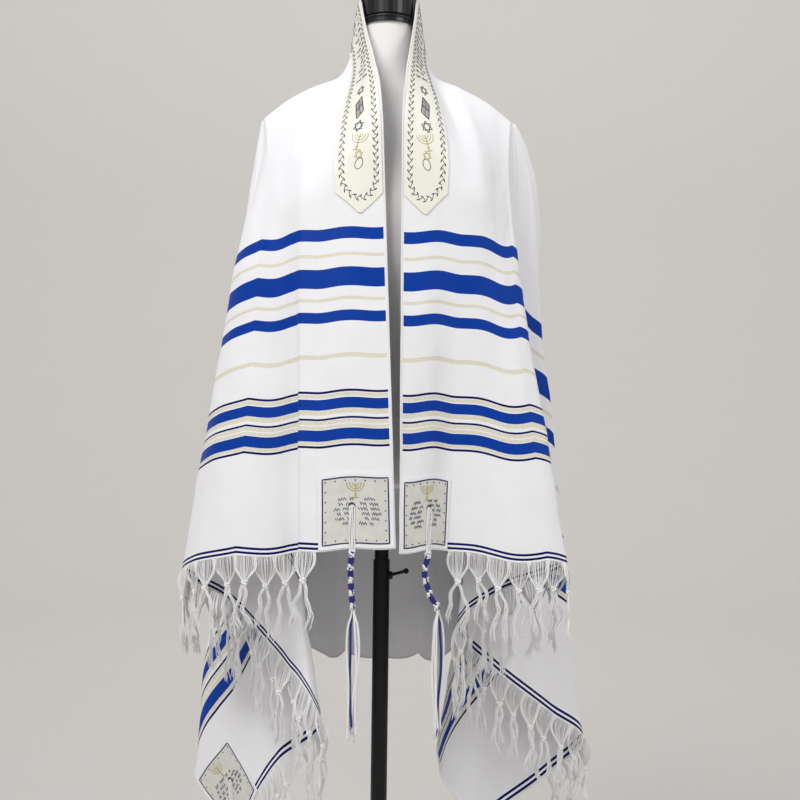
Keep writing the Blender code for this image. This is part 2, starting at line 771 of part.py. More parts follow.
def corner_uv(drape, side, edge, from_end, from_edge):
    """Cloth point at distances from a corner's fringed end and long edge."""
    half = drape.sides[side].half
    u = (half - from_end) * drape.sides[side].sign
    v = from_edge if edge == "front" else CLOTH_DROP - from_edge
    return u, v


def make_patch(drape, side, edge):
    points = []
    for i in range(PATCH_CELLS + 1):
        for j in range(PATCH_CELLS + 1):
            from_end = PATCH_INSET + PATCH_SIDE * i / PATCH_CELLS
            from_edge = PATCH_INSET + PATCH_SIDE * j / PATCH_CELLS
            points.append(corner_uv(drape, side, edge, from_end, from_edge))
    size = PATCH_CELLS + 1
    return lying_piece(f"patch_{edge}_{side}", drape, size, size, points, PATCH_WALL)


def fringe_group_tails(rng, level):
    """Two tails that splay apart, each in two steps; less on a steep hem."""
    tails = []
    for side in (-1, 1):
        splay = side * rng.uniform(0.003, 0.010) * level**4
        sway = rng.uniform(-0.001, 0.001)
        reach = FRINGE_TAIL * rng.uniform(0.80, 1.15)
        tails.append([(splay, sway, reach * 0.5, 1.0), (splay * 0.3, sway, reach * 0.5, 0.75)])
    return tails


def make_fringe(drape, side_name):
    """A narrow strip just below the fringed end, with knotted locks rooted in it."""
    side = drape.sides[side_name]
    rng = random.Random(11 if side_name == "left" else 23)
    first = next(k for k, c in enumerate(side.columns) if c["run"] > FRINGE_START - 1e-6)
    last_row = len(side.columns[0]["stations"]) - 1
    hems = []
    for k in range(first, first + FRINGE_GROUPS + 1):
        tip = drape.index[side_name, k, last_row]
        above = drape.index[side_name, k, last_row - 1]
        place = Vector(drape.vertices[tip])
        down = (place - Vector(drape.vertices[above])).normalized()
        hems.append((place, down, Vector(drape.normals[tip])))
    bm = bmesh.new()

    def section(k, share):
        a, b = hems[k], hems[min(k + 1, len(hems) - 1)]
        place = a[0].lerp(b[0], share)
        down = a[1].lerp(b[1], share).normalized()
        out = a[2].lerp(b[2], share)
        out = (out - down * out.dot(down)).normalized() * (STRIP_WALL / 2)
        top = place + down * STRIP_GAP
        foot = top + down * STRIP_HEIGHT
        return [bm.verts.new(p) for p in (top + out, top - out, foot - out, foot + out)]

    sections = []
    for k in range(FRINGE_GROUPS):
        near, far = (1 - LOCK_SHARE) / 2, (1 + LOCK_SHARE) / 2
        plane = None if k in TUCKED_GROUPS[side_name] else LOCK_PLANES[k % len(LOCK_PLANES)]
        sections += [(section(k, 0.0), None), (section(k, near), plane), (section(k, far), None)]
    sections.append((section(FRINGE_GROUPS, 0.0), None))
    bm.faces.new(sections[0][0])
    bm.faces.new(sections[-1][0][::-1])
    for (near, plane), (far, _next) in zip(sections, sections[1:]):
        for m in (0, 1, 3):
            n = (m + 1) % 4
            bm.faces.new((near[m], far[m], far[n], near[n]))
        if plane is None:
            bm.faces.new((near[2], far[2], far[3], near[3]))
            continue
        root = [near[3], far[3], far[2], near[2]]
        add_lock(bm, root, plane, rng, drape.tree)
    return finish_object(f"fringe_{side_name}", bm, "white_cord")


def add_lock(bm, root, plane, rng, tree):
    """A gathered lock from the strip to its knot, and the two tails under it."""
    middle = sum((vert.co for vert in root), Vector()) / 4
    hem = (root[1].co - root[0].co).normalized()
    deep = (root[3].co - root[0].co).normalized()
    off_cloth = hem.cross(deep)
    if off_cloth.z > 0.0:
        off_cloth = -off_cloth
    hang = (Vector((0, 0, -1)) + off_cloth * LOCK_STIFFNESS).normalized()
    across = hem.copy()
    across.z = 0.0
    across.normalize()
    deep = Vector((-across.y, across.x, 0.0)) * (1 if deep.dot((-across.y, across.x, 0)) > 0 else -1)
    knot = middle + hang * (FRINGE_KNOT_DROP + rng.uniform(0.0, 0.006)) + deep * plane
    knot = pushed_clear(tree, knot, LOCK_CLEARANCE + plane)
    neck = box_ring(bm, knot + Vector((0, 0, 0.005)), across, deep, 0.0022, 0.0016)
    ring = box_ring(bm, knot, across, deep, 0.0042, 0.0030)
    bridge(bm, root, neck)
    bridge(bm, neck, ring)
    below = knot + Vector((0, 0, -0.006))
    tails = fringe_group_tails(rng, math.hypot(hem.x, hem.y))
    split_into_strands(bm, ring, below, across, deep, (2, 1), (0.0036, 0.0014), tails, tree, plane)


def make_tassel(drape, side, edge):
    """A doubled cord through the patch's eyelet, five knots, and eight hanging strands."""
    rng = random.Random(len(side) * 7 + len(edge))
    steps = 4
    lift = CLOTH_WALL / 2 + LYING_GAP + PATCH_WALL + TASSEL_CORD_THICK * 0.75
    route = []
    for k in range(steps + 1):
        share = k / steps
        from_end = EYELET_INSET * (1 - share)
        from_edge = EYELET_INSET * (1 - share) if edge == "back" else EYELET_INSET
        place, normal = drape.point(*corner_uv(drape, side, edge, from_end, from_edge))
        route.append((Vector(place + normal * lift), Vector(normal)))
    hem, hem_out = route[-1]
    run_on = (hem - route[-2][0]).normalized()
    bend = hem + run_on * (TASSEL_LEAD / 2)
    top = bend + Vector((0, 0, -TASSEL_LEAD / 2)) + run_on * 0.002
    deep = Vector((hem_out.x, hem_out.y, 0.0)).normalized()
    across = Vector((-deep.y, deep.x, 0.0))
    half_sizes = TASSEL_CORD_WIDTH / 2, TASSEL_CORD_THICK / 2
    bm = bmesh.new()
    rings = []
    for k, (place, out) in enumerate(route):
        ahead = (route[k + 1][0] if k < steps else bend) - place
        level = ahead.cross(out).normalized()
        if level.dot(across) < 0.0:
            level = -level
        out = level.cross(ahead).normalized()
        if out.dot(hem_out) < 0.0:
            out = -out
        rings.append(box_ring(bm, place, level, out, *half_sizes))
    rings.append(box_ring(bm, bend, across, deep, *half_sizes))
    turns = 2 * TASSEL_KNOTS - 1
    sway = TASSEL_SWAY.get(f"{edge}_{side}", ((0.0, 0.0), (1.0, 0.0)))

    def column(share):
        return top + Vector((read_table(sway, share)[0], 0.0, -share * TASSEL_COLUMN))

    for k in range(turns):
        size = KNOT_HALF_WIDTH if k % 2 == 0 else WINDING_HALF_WIDTH
        for share in ((k + 0.16) / turns, (k + 0.84) / turns):
            rings.append(box_ring(bm, column(share), across, deep, size, size))
    for low, high in zip(rings, rings[1:]):
        bridge(bm, low, high)
    bm.faces.new(rings[0][::-1])
    foot = column(1.0) + Vector((0, 0, -0.008))
    tails = []
    for k in range(8):
        sway = rng.uniform(-0.0008, 0.0008)
        reach = TASSEL_STRANDS * rng.uniform(0.90, 1.04)
        tails.append([
            (sway, 0.0, reach * 0.35, 1.0),
            (-sway, sway * 0.4, reach * 0.35, 1.0),
            (sway, 0.0, reach * 0.30, 0.8),
        ])
    split_into_strands(bm, rings[-1], foot, across, deep, (4, 2), (0.0075, 0.0036), tails,
                       drape.tree)
    return finish_object(f"tassel_{edge}_{side}", bm, "white_cord")


# ---------------------------------------------------------------- the form and stand
def make_form():
    bm = bmesh.new()
    rings = []
    for z, half_width, front, back in FORM:
        ring = []
        for k in range(FORM_SIDES):
            angle = 2 * math.pi * k / FORM_SIDES
            x = half_width * math.cos(angle)
            deep = math.sin(angle)
            y = deep * (back if deep > 0.0 else front)
            ring.append(bm.verts.new((x, y, z)))
        rings.append(ring)
    for low, high in zip(rings, rings[1:]):
        bridge(bm, low, high)
    bm.faces.new(rings[0][::-1])
    bm.faces.new(rings[-1])
    return finish_object("form_torso", bm, "form_jersey")


def make_neck_cap():
    foot = FORM[-1][0] + GAP
    edge = 0.004
    profile = (
        (CAP_RADIUS - 0.002, foot),
        (CAP_RADIUS, foot + 0.002),
        (CAP_RADIUS, foot + CAP_HEIGHT - edge),
        (CAP_RADIUS - edge, foot + CAP_HEIGHT),
    )
    return turned("neck_cap", profile, 32, "black_plastic")


def make_stand():
    form_foot = FORM[0][0]
    turned("form_socket", (
        (SOCKET_RADIUS - 0.002, form_foot - GAP - SOCKET_THICK),
        (SOCKET_RADIUS, form_foot - GAP - SOCKET_THICK + 0.002),
        (SOCKET_RADIUS, form_foot - GAP),
    ), 32, "white_plastic")
    inner_top = form_foot - 2 * GAP - SOCKET_THICK
    turned("inner_tube", (
        (INNER_TUBE_RADIUS, OUTER_TUBE_TOP - TUBE_INSERTION),
        (INNER_TUBE_RADIUS, inner_top),
    ), 24, "black_steel")
    bore = INNER_TUBE_RADIUS + TUBE_PLAY
    foot = BASE_THICK + HUB_HEIGHT + GAP
    turned("outer_tube", (
        (bore, foot),
        (OUTER_TUBE_RADIUS, foot),
        (OUTER_TUBE_RADIUS, OUTER_TUBE_TOP),
        (bore, OUTER_TUBE_TOP),
    ), 24, "black_steel", capped=False)
    edge = 0.004
    turned("base_plate", (
        (BASE_RADIUS, 0.0),
        (BASE_RADIUS, BASE_THICK - edge),
        (BASE_RADIUS - edge, BASE_THICK),
        (HUB_RADIUS, BASE_THICK),
        (HUB_RADIUS - 0.004, BASE_THICK + HUB_HEIGHT),
    ), 48, "black_steel")


def rod_along_x(name, stations, sides, finish, tilt=0.0):
    """A solid of (distance, radius) rings about an axis that leaves the pole at the boss."""
    bm = bmesh.new()
    rings = []
    for x, radius in stations:
        ring = []
        for k in range(sides):
            angle = 2 * math.pi * k / sides
            ring.append(bm.verts.new((x, radius * math.cos(angle), radius * math.sin(angle))))
        rings.append(ring)
    for low, high in zip(rings, rings[1:]):
        bridge(bm, low, high)
    bm.faces.new(rings[0][::-1])
    bm.faces.new(rings[-1])
    made = finish_object(name, bm, finish)
    made.rotation_euler.y = -math.radians(tilt)
    made.location = (OUTER_TUBE_RADIUS, 0.0, OUTER_TUBE_TOP - BOSS_DROP)
    return made


def cut_away(solid, tool):
    tool.hide_render = True
    tool.display_type = "WIRE"
    cut = solid.modifiers.new(tool.name, "BOOLEAN")
    cut.object = tool


def make_clamp():
    """The boss on the outer tube's side, and the tilted screw that grips the inner tube."""
    boss_end = BOSS_REACH - OUTER_TUBE_RADIUS
    boss = rod_along_x("clamp_boss", (
        (-OUTER_TUBE_RADIUS / 2, BOSS_RADIUS),
        (boss_end - 0.001, BOSS_RADIUS),
        (boss_end, BOSS_RADIUS - 0.001),
    ), 24, "black_steel")
    hole_radius = SCREW_RADIUS + SCREW_PLAY
    cut_away(boss, rod_along_x("clamp_hole", (
        (-0.001, hole_radius),
        (boss_end + 0.003, hole_radius),
    ), 16, "black_steel", SCREW_TILT))
    cut_away(boss, turned("clamp_saddle", (
        (OUTER_TUBE_RADIUS + GAP, OUTER_TUBE_TOP - 2 * BOSS_DROP),
        (OUTER_TUBE_RADIUS + GAP, OUTER_TUBE_TOP),
    ), 24, "black_steel"))
    reach = (SCREW_REACH - OUTER_TUBE_RADIUS) / math.cos(math.radians(SCREW_TILT))
    knob = [
        (reach - KNOB_RADIUS * math.cos(a), KNOB_RADIUS * math.sin(a))
        for a in np.linspace(math.radians(38), math.radians(165), 7)
    ]
    rod_along_x("clamp_screw", (
        (SCREW_TIP_GAP, SCREW_RADIUS),
        (knob[0][0] - 0.001, SCREW_RADIUS),
        *knob,
    ), 16, "black_steel", SCREW_TILT)


def main():
    for old in list(bpy.data.objects):
        bpy.data.objects.remove(old, do_unlink=True)
    drape = Drape()
    make_cloth(drape)
    make_neckband(drape)
    for side, edge in corner_names():
        make_patch(drape, side, edge)
        make_tassel(drape, side, edge)
    for side in FALLS:
        make_fringe(drape, side)
    make_form()
    make_neck_cap()
    make_stand()
    make_clamp()


main()
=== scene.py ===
"""Looks of a tallit prayer shawl draped over a limbless dress form on a pole stand.

The shawl is one rectangle of cloth.  A point of it is named by u, the distance along the
long side from the middle of the neck edge (below zero on the left), and v, the distance
down from the neck edge.  The cloth hangs from a ridge in falls, straight lines of cloth
that roll over the chest or back and end on the fringed end or on the lower long edge.
What lies on the cloth, and what hangs from it, is placed by its point of the cloth.
"""

import json
import math
import random

import bpy
import numpy as np
from mathutils import Matrix, Vector, noise
from mathutils.bvhtree import BVHTree

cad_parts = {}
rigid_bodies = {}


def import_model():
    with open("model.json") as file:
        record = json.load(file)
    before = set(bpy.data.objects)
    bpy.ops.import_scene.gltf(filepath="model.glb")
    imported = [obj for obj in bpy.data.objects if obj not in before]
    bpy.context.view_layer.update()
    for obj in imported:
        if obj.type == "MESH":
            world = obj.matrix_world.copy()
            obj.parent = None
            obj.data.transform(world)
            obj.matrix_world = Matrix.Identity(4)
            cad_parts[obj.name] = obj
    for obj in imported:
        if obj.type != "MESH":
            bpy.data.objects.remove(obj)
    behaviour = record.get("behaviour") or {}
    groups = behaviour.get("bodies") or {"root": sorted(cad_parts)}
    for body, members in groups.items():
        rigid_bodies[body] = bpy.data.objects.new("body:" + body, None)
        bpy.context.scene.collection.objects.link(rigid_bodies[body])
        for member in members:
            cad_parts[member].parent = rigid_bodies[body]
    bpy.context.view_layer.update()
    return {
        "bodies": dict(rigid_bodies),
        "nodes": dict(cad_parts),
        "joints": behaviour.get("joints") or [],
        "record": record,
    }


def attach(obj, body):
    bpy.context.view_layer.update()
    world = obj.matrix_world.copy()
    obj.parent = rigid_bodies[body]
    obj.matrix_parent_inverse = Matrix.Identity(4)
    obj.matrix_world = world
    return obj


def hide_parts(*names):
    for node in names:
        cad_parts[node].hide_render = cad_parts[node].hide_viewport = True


# ---------------------------------------------------------------- sizes, in metres
CLOTH_LENGTH = 1.83
CLOTH_DROP = 1.03
SIDE_SHIFT = 0.002        # the shawl sits this much further to the right
ROLL = 0.26               # cloth that rolls over chest or back before a fall runs straight

RIDGE_COLUMNS = 46        # falls from the ridge, to the front and to the back
RIDGE_GROUPS = 5          # fringe groups below the front falls from the ridge
NAPE_COLUMNS = 14
FAN_STEP = 0.0044         # of hem between two falls past the shoulder tip
ROLL_ROWS = 34
STRAIGHT_ROWS = 40
CREST_WIDTH = 0.014       # cloth beside the ridge that bends round instead of creasing
CREST_PASSES = 4
FALL_STEPS = 240
LEAST_DROP = 0.05         # of a fall, for each metre of its cloth
RIPPLES = (
    # height, waves a metre along and down, where the noise is read
    (0.0026, 9.0, 9.0, 0.0),
    (0.0026, 3.2, 22.0, 7.0),
    (0.0013, 24.0, 32.0, 4.0),
    (0.0005, 62.0, 70.0, 9.0),
)
RIPPLE_START = 0.15       # share of their height at the ridge
RIPPLE_REACH = 0.25       # cloth over which a whole height is gained

PATCH_SIDE = 0.100
PATCH_INSET = 0.001
PATCH_CELLS = 32
FRAME_INSET = 0.006       # of the satin square and its sewn frame
FRAME_WIDTH = 0.0019
DOT_INSET = 0.0102
DOT_HALF = 0.0008         # of the length of its stitch
DOT_WIDTH = 0.0018
PATCH_DOTS = 7            # to a side
PATCH_WAVES = (
    # from the fringed end, width of the zigzag row
    (0.0650, 0.050),
    (0.0585, 0.058),
    (0.0520, 0.062),
    (0.0455, 0.066),
    (0.0390, 0.060),
    (0.0325, 0.044),
)
EYELET_INSET = 0.056      # from both cloth edges

BAND_WIDTH = 0.072
BAND_INSET = 0.003
BAND_HALF_LENGTH = 0.460
BAND_POINT = 0.028        # length of each pointed end
BAND_TIP = 0.06           # share of the width left at the very end
BAND_COLUMNS = 240        # to each side of the nape
BAND_ROWS = 22
BAND_WAVES = 21           # zigzag rows to each side, from the one farthest from the nape
BAND_WAVE_START = 0.248
BAND_WAVE_STEP = 0.0116
BAND_WAVE_WIDTH = 0.036
LATTICE_AT = 0.309        # from the nape
LATTICE_CELLS = 14
LATTICE_TILT = 0.0012

FRINGE_GROUPS = 27
FRINGE_START = 0.105      # clear of the corner patches
FRINGE_KNOT_DROP = 0.036
FRINGE_TAIL = 0.062
TUCKED_GROUPS = {"left": (1,), "right": ()}
KNOT_PLANES = (0.0, 0.007)

STRETCHES = ("front_left", "side_left", "back", "side_right", "front_right")
EDGE_RADIUS = 0.0011
SATIN_LIFT = 0.0018       # of the band's and the patches' outer face and foot off the cloth
SATIN_FOOT = 0.0002
STITCH_GAP = 0.0001
STITCH_STEP = 0.004
STITCH_HEIGHT = 0.55      # of a stitch's half width
VINE_STEP = 0.0052
VINE_HEIGHT = 0.0026
VINE_INSET = 0.009        # from the band's edge; it turns round before the pointed end
VINE_TURN = 0.052
VINE_END = 0.020
MOTIF_LEAN = -0.34        # across for each metre along: motifs slant with the hanging cloth
NAVY_LINE, GREY_LINE, GOLD_LINE = 0, 1, 2

LOCK_MARGIN = 0.03        # share of a group's hem left free at each side
LOCK_STIFFNESS = 0.20     # how far a lock stands square off a slanting hem
LOCK_CLEARANCE = 0.0065
EDGE_YARNS = 2            # thicker, plied yarns at each side of a group
FRINGE_KNOT = (0.0036, 0.0018)  # breadth, and radius of its cord
KNOT_SIDES = 24
KNOT_OVERLAP = 3          # points by which its cord runs on past its start
YARNS = 15                # of a fringe group, at the hem
YARN_RADIUS = 0.00065
EDGE_YARN_RADIUS = 0.0012
TAIL_YARNS = 8
TAIL_STEPS = 12
TAIL_NECK = 0.0034        # width of a tail at its knot and at its cut end
TAIL_SPREAD = 0.0075
TAIL_CLEARANCE = 0.0045

WHITE_YARN, BLUE_YARN = 0, 1
BLUE_STRAND = {"left": 3, "right": 6}
TASSEL_KNOT = (0.0039, 0.0015)
KNOT_SHIFT = 0.0020       # between the middle of a double knot and each of its two
CORDS = 4                 # through the eyelet; doubled, they end in twice as many strands
ROUTE_STEPS = 6           # of the cord from the eyelet to the cloth's edge
CORD_LIFT = 0.0030
CORD_RADIUS = 0.00095
CORD_PITCH = 0.0022
CORE_RADIUS = 0.0029      # inside the knots and windings
CORE_STEPS = 24
WINDING_RADIUS = 0.0034
COILS = 5                 # of each winding
COIL_SIDES = 12
COIL_RADIUS = 0.0010
FIBRES = 4                # loose ones at a strand's end
FIBRE_RADIUS = 0.00035
FIBRE_LENGTH = 0.005
STRAND_RADIUS = 0.0016
STRAND_STEPS = 18

TASSEL_KNOTS = 5
TASSEL_COLUMN = 0.077
TASSEL_STRANDS = 0.160
TASSEL_LEAD = 0.002
TASSEL_SWAY = {
    # share of the column, across
    "front_left": ((0.0, 0.000), (0.3, -0.002), (0.6, -0.001), (1.0, 0.002)),
    "front_right": (
        (0.00, 0.000), (0.20, -0.003), (0.38, -0.005), (0.55, -0.002), (0.75, 0.003), (1.00, 0.014),
    ),
}

RIDGE = (
    # share, u, v, out, y, z
    (0.00, 0.083, 0.000, 0.041, -0.002, 1.640),
    (0.25, 0.140, 0.068, 0.053, 0.018, 1.570),
    (0.42, 0.180, 0.103, 0.070, 0.012, 1.530),
    (0.60, 0.204, 0.123, 0.102, 0.006, 1.514),
    (0.80, 0.230, 0.149, 0.145, 0.002, 1.492),
    (1.00, 0.267, 0.176, 0.182, 0.000, 1.464),
)
NAPE_Y = 0.046
NAPE_RISE = 0.008
BACK_SHOULDER = 0.19      # u where the back fall of the shoulder tip ends

# Falls: how far the middle of each one's roll stands off a plain roll, where it passes the
# chest, and where it ends.  'run' goes along the fringed end from the neck edge and on along
# the lower edge to the middle of the back.  Near the neck the cloth keeps close round it
# before it comes forward over the chest.
FALLS = {
    # run, bend_out, bend_y, chest_out, chest_y, hem_out, hem_y
    "left": (
        (0.000, 0.004, 0.020, 0.004, -0.128, -0.020, -0.152),
        (0.050, -0.009, 0.017, 0.047, -0.128, 0.030, -0.160),
        (0.107, -0.009, 0.012, 0.094, -0.126, 0.086, -0.158),
        (0.136, -0.004, 0.008, 0.115, -0.122, 0.110, -0.152),
        (0.157, -0.002, 0.004, 0.124, -0.115, 0.106, -0.139),
        (0.180, 0.000, 0.002, 0.136, -0.108, 0.126, -0.129),
        (0.260, -0.004, 0.000, 0.174, -0.092, 0.196, -0.126),
        (0.330, -0.008, 0.000, 0.203, -0.072, 0.258, -0.095),
        (0.390, -0.010, 0.000, 0.218, -0.045, 0.284, -0.045),
        (0.470, -0.010, 0.000, 0.216, -0.020, 0.230, -0.010),
        (0.620, -0.008, 0.000, 0.200, -0.018, 0.146, -0.064),
        (0.735, 0.000, 0.000, 0.183, -0.016, 0.092, -0.099),
        (0.790, 0.000, 0.000, 0.180, -0.009, 0.079, -0.084),
        (0.880, 0.000, 0.000, 0.193, 0.010, 0.146, -0.020),
        (1.050, 0.000, 0.000, 0.212, 0.035, 0.214, 0.035),
        (1.170, -0.006, 0.000, 0.220, 0.055, 0.284, 0.093),
        (1.300, 0.000, 0.000, 0.209, 0.070, 0.187, 0.108),
        (1.365, 0.000, 0.000, 0.206, 0.076, 0.184, 0.130),
        (1.480, 0.000, 0.000, 0.203, 0.088, 0.250, 0.158),
        (1.600, 0.000, 0.000, 0.185, 0.102, 0.186, 0.182),
        (1.690, 0.000, 0.000, 0.160, 0.113, 0.148, 0.186),
        (1.765, 0.000, 0.000, 0.128, 0.117, 0.118, 0.172),
        (1.820, 0.000, 0.004, 0.094, 0.119, 0.088, 0.170),
        (1.860, 0.000, 0.000, 0.068, 0.114, 0.064, 0.166),
        (1.950, 0.000, 0.004, 0.000, 0.130, 0.000, 0.170),
    ),
    "right": (
        (0.000, 0.004, 0.020, 0.023, -0.128, 0.026, -0.152),
        (0.050, -0.008, 0.017, 0.067, -0.127, 0.059, -0.134),
        (0.107, -0.008, 0.012, 0.109, -0.120, 0.094, -0.106),
        (0.150, -0.002, 0.006, 0.138, -0.111, 0.132, -0.112),
        (0.230, 0.000, 0.000, 0.170, -0.095, 0.202, -0.122),
        (0.290, 0.000, 0.000, 0.187, -0.086, 0.250, -0.112),
        (0.308, 0.000, 0.000, 0.190, -0.080, 0.259, -0.104),
        (0.330, 0.000, 0.000, 0.186, -0.068, 0.248, -0.082),
        (0.420, 0.000, 0.000, 0.172, -0.050, 0.170, -0.045),
        (0.520, 0.003, 0.000, 0.168, -0.040, 0.114, -0.0635),
        (0.545, 0.004, 0.000, 0.171, -0.035, 0.109, -0.056),
        (0.572, 0.004, 0.000, 0.174, -0.030, 0.114, -0.047),
        (0.660, 0.006, 0.000, 0.190, -0.016, 0.165, -0.022),
        (0.780, 0.008, 0.000, 0.212, 0.000, 0.252, 0.014),
        (0.857, 0.008, 0.000, 0.228, 0.012, 0.304, 0.044),
        (0.940, 0.008, 0.000, 0.230, 0.026, 0.252, 0.062),
        (1.050, 0.007, 0.000, 0.222, 0.044, 0.158, 0.074),
        (1.165, 0.000, 0.000, 0.200, 0.060, 0.093, 0.090),
        (1.232, 0.000, 0.000, 0.196, 0.069, 0.088, 0.112),
        (1.330, 0.000, 0.000, 0.200, 0.077, 0.162, 0.126),
        (1.480, 0.000, 0.000, 0.203, 0.088, 0.256, 0.160),
        (1.600, 0.000, 0.000, 0.185, 0.102, 0.190, 0.184),
        (1.690, 0.000, 0.000, 0.160, 0.113, 0.150, 0.188),
        (1.765, 0.000, 0.000, 0.128, 0.117, 0.120, 0.174),
        (1.820, 0.000, 0.002, 0.094, 0.117, 0.090, 0.170),
        (1.860, 0.000, 0.000, 0.068, 0.110, 0.064, 0.166),
        (1.950, 0.000, 0.004, 0.000, 0.130, 0.000, 0.170),
    ),
}
TABLE_DROP = 1.05         # cloth drop and half length that the 'run' column counts
TABLE_HALF_LENGTH = 0.90

# The dress form, from its underside to the neck.
FORM = (
    # z, half_width, front, back
    (0.925, 0.104, 0.066, 0.080),
    (0.930, 0.132, 0.084, 0.100),
    (0.965, 0.142, 0.090, 0.108),
    (1.010, 0.146, 0.092, 0.108),
    (1.060, 0.142, 0.090, 0.098),
    (1.120, 0.134, 0.090, 0.088),
    (1.180, 0.140, 0.098, 0.088),
    (1.250, 0.154, 0.112, 0.096),
    (1.310, 0.166, 0.114, 0.106),
    (1.360, 0.171, 0.102, 0.108),
    (1.395, 0.168, 0.083, 0.096),
    (1.425, 0.152, 0.065, 0.078),
    (1.448, 0.130, 0.052, 0.060),
    (1.468, 0.100, 0.043, 0.050),
    (1.484, 0.073, 0.040, 0.045),
    (1.500, 0.052, 0.038, 0.042),
    (1.518, 0.040, 0.035, 0.038),
    (1.545, 0.035, 0.034, 0.036),
    (1.605, 0.034, 0.033, 0.035),
)
FORM_LEVELS = 91
ROUND_SIDES = 96
JERSEY_RADIUS = 0.13      # the torso's own, to turn an angle into a length of jersey

# The neck cap's rim: a plain lip, a groove and a bead above it.
CAP_RIM = (
    # radius, z
    (0.0352, 1.5945),
    (0.0364, 1.5945),
    (0.0370, 1.5952),
    (0.0370, 1.5985),
    (0.0362, 1.5992),
    (0.0362, 1.6004),
    (0.0370, 1.6010),
    (0.0376, 1.6020),
    (0.0376, 1.6032),
    (0.0370, 1.6042),
    (0.0361, 1.6046),
)

# ---------------------------------------------------------------- colours and finishes
WHITE = "#F3F3F6"
IVORY = "#F3F2E6"
PLAIN_ROUGH = 0.72
ROYAL = ("#043CA0", 0.42)  # stripe yarns: colour and roughness
NAVY = ("#080E5C", 0.55)
LUREX = ("#DFDAC4", 0.36)

FIBRE_SPOT = 0.0014       # size of the white gaps between gilt yarns
WOOL_PITCH = (0.0009, 0.0011)    # yarns are half a millimetre apart, drawn coarser to show
SATIN_PITCH = (0.0006, 0.0005)   # its threads are 0.2 mm apart, drawn coarser to show
JERSEY_PITCH = (0.0012, 0.0009)  # wales and courses at their real size
PAINTED_SHEEN_SPOT = 0.012       # breadth of the satin's lighter places, painted highlights of its sheen
YARN_TWIST = 0.004        # length of one turn of the yarn's plies
THREAD_PITCH = 0.0008     # satin stitches are 0.4 mm apart, drawn twice as coarse to show
MOULD_GRAIN = 0.0008      # spark-eroded grain is 0.1 mm, drawn coarser to show
RUBBED_SPOT = 0.03        # breadth of the places that hands have polished
PEEL_GRAIN = 0.0007       # bumps of the baked coat at their real breadth
HARD_CREASE = 30.0        # degrees between two faces of a hard part that stay apart

# Stripes across the cloth: start and end from the fringed end, and their yarn.
STRIPES = (
    (0.0018, 0.0051, NAVY),
    (0.0079, 0.0112, NAVY),
    (0.1370, 0.1400, NAVY),
    (0.1410, 0.1460, LUREX),
    (0.1460, 0.1610, ROYAL),
    (0.1620, 0.1665, LUREX),
    (0.1680, 0.1730, LUREX),
    (0.1737, 0.1765, NAVY),
    (0.1810, 0.1875, LUREX),
    (0.1880, 0.2024, ROYAL),
    (0.2040, 0.2090, LUREX),
    (0.2100, 0.2130, NAVY),
    (0.2560, 0.2620, LUREX),
    (0.3050, 0.3200, ROYAL),
    (0.3340, 0.3390, LUREX),
    (0.3530, 0.3785, ROYAL),
    (0.3940, 0.3990, LUREX),
    (0.4170, 0.4340, ROYAL),
)
STRIPE_FIELDS = ((0.0, 0.02), (0.13, 0.22), (0.25, 0.44))  # one colour ramp for each
SELVEDGE = 0.0035         # undyed edge that the stripes stop at

STAGE_COLOUR = "#DEDBD7"
STAGE_HEIGHT = 6.0
FLOOR_RADIUS = 4.5
WALL_BEND = 2.5
ROOM_COLOUR = "#F4F5F8"
ROOM_STRENGTH = 0.62
LIGHTS = (
    # name, place, target, size, watts
    ("key_light", (-1.3, -1.9, 3.3), (0.0, 0.0, 1.35), (1.6, 1.0), 60.0),
    ("fill_light", (2.2, -1.6, 2.4), (0.0, 0.0, 1.2), (1.2, 1.2), 20.0),
    ("wall_light", (0.0, 2.0, 4.8), (0.0, 6.4, 3.4), (4.0, 1.0), 90.0),
)
VIEW_PLACE = (0.024, -1.80, 1.05)
VIEW_LENS = 55.35         # millimetres
VIEW_ROLL = 0.725         # degrees


# ---------------------------------------------------------------- curves and tables
def smooth_curve(x, y, at):
    """Monotone cubic through (x, y): it never swings past its own points."""
    step = np.diff(x)
    rise = np.diff(y) / step
    slope = np.zeros(len(x))
    slope[0] = rise[0]
    slope[-1] = rise[-1]
    for i in range(1, len(x) - 1):
        if rise[i - 1] * rise[i] > 0.0:
            before = 2.0 * step[i] + step[i - 1]
            after = step[i] + 2.0 * step[i - 1]
            slope[i] = (before + after) / (before / rise[i - 1] + after / rise[i])
    i = int(np.clip(np.searchsorted(x, at, side="right") - 1, 0, len(x) - 2))
    t = (at - x[i]) / step[i]
    return (
        (2 * t**3 - 3 * t**2 + 1) * y[i]
        + (t**3 - 2 * t**2 + t) * step[i] * slope[i]
        + (3 * t**2 - 2 * t**3) * y[i + 1]
        + (t**3 - t**2) * step[i] * slope[i + 1]
    )


def read_table(rows, at):
    """Every column after the first, at one value of the first column."""
    table = np.array(rows, dtype=float)
    return [float(smooth_curve(table[:, 0], table[:, k], at)) for k in range(1, table.shape[1])]


def eased(x):
    x = np.clip(x, 0.0, 1.0)
    return x * x * (3.0 - 2.0 * x)


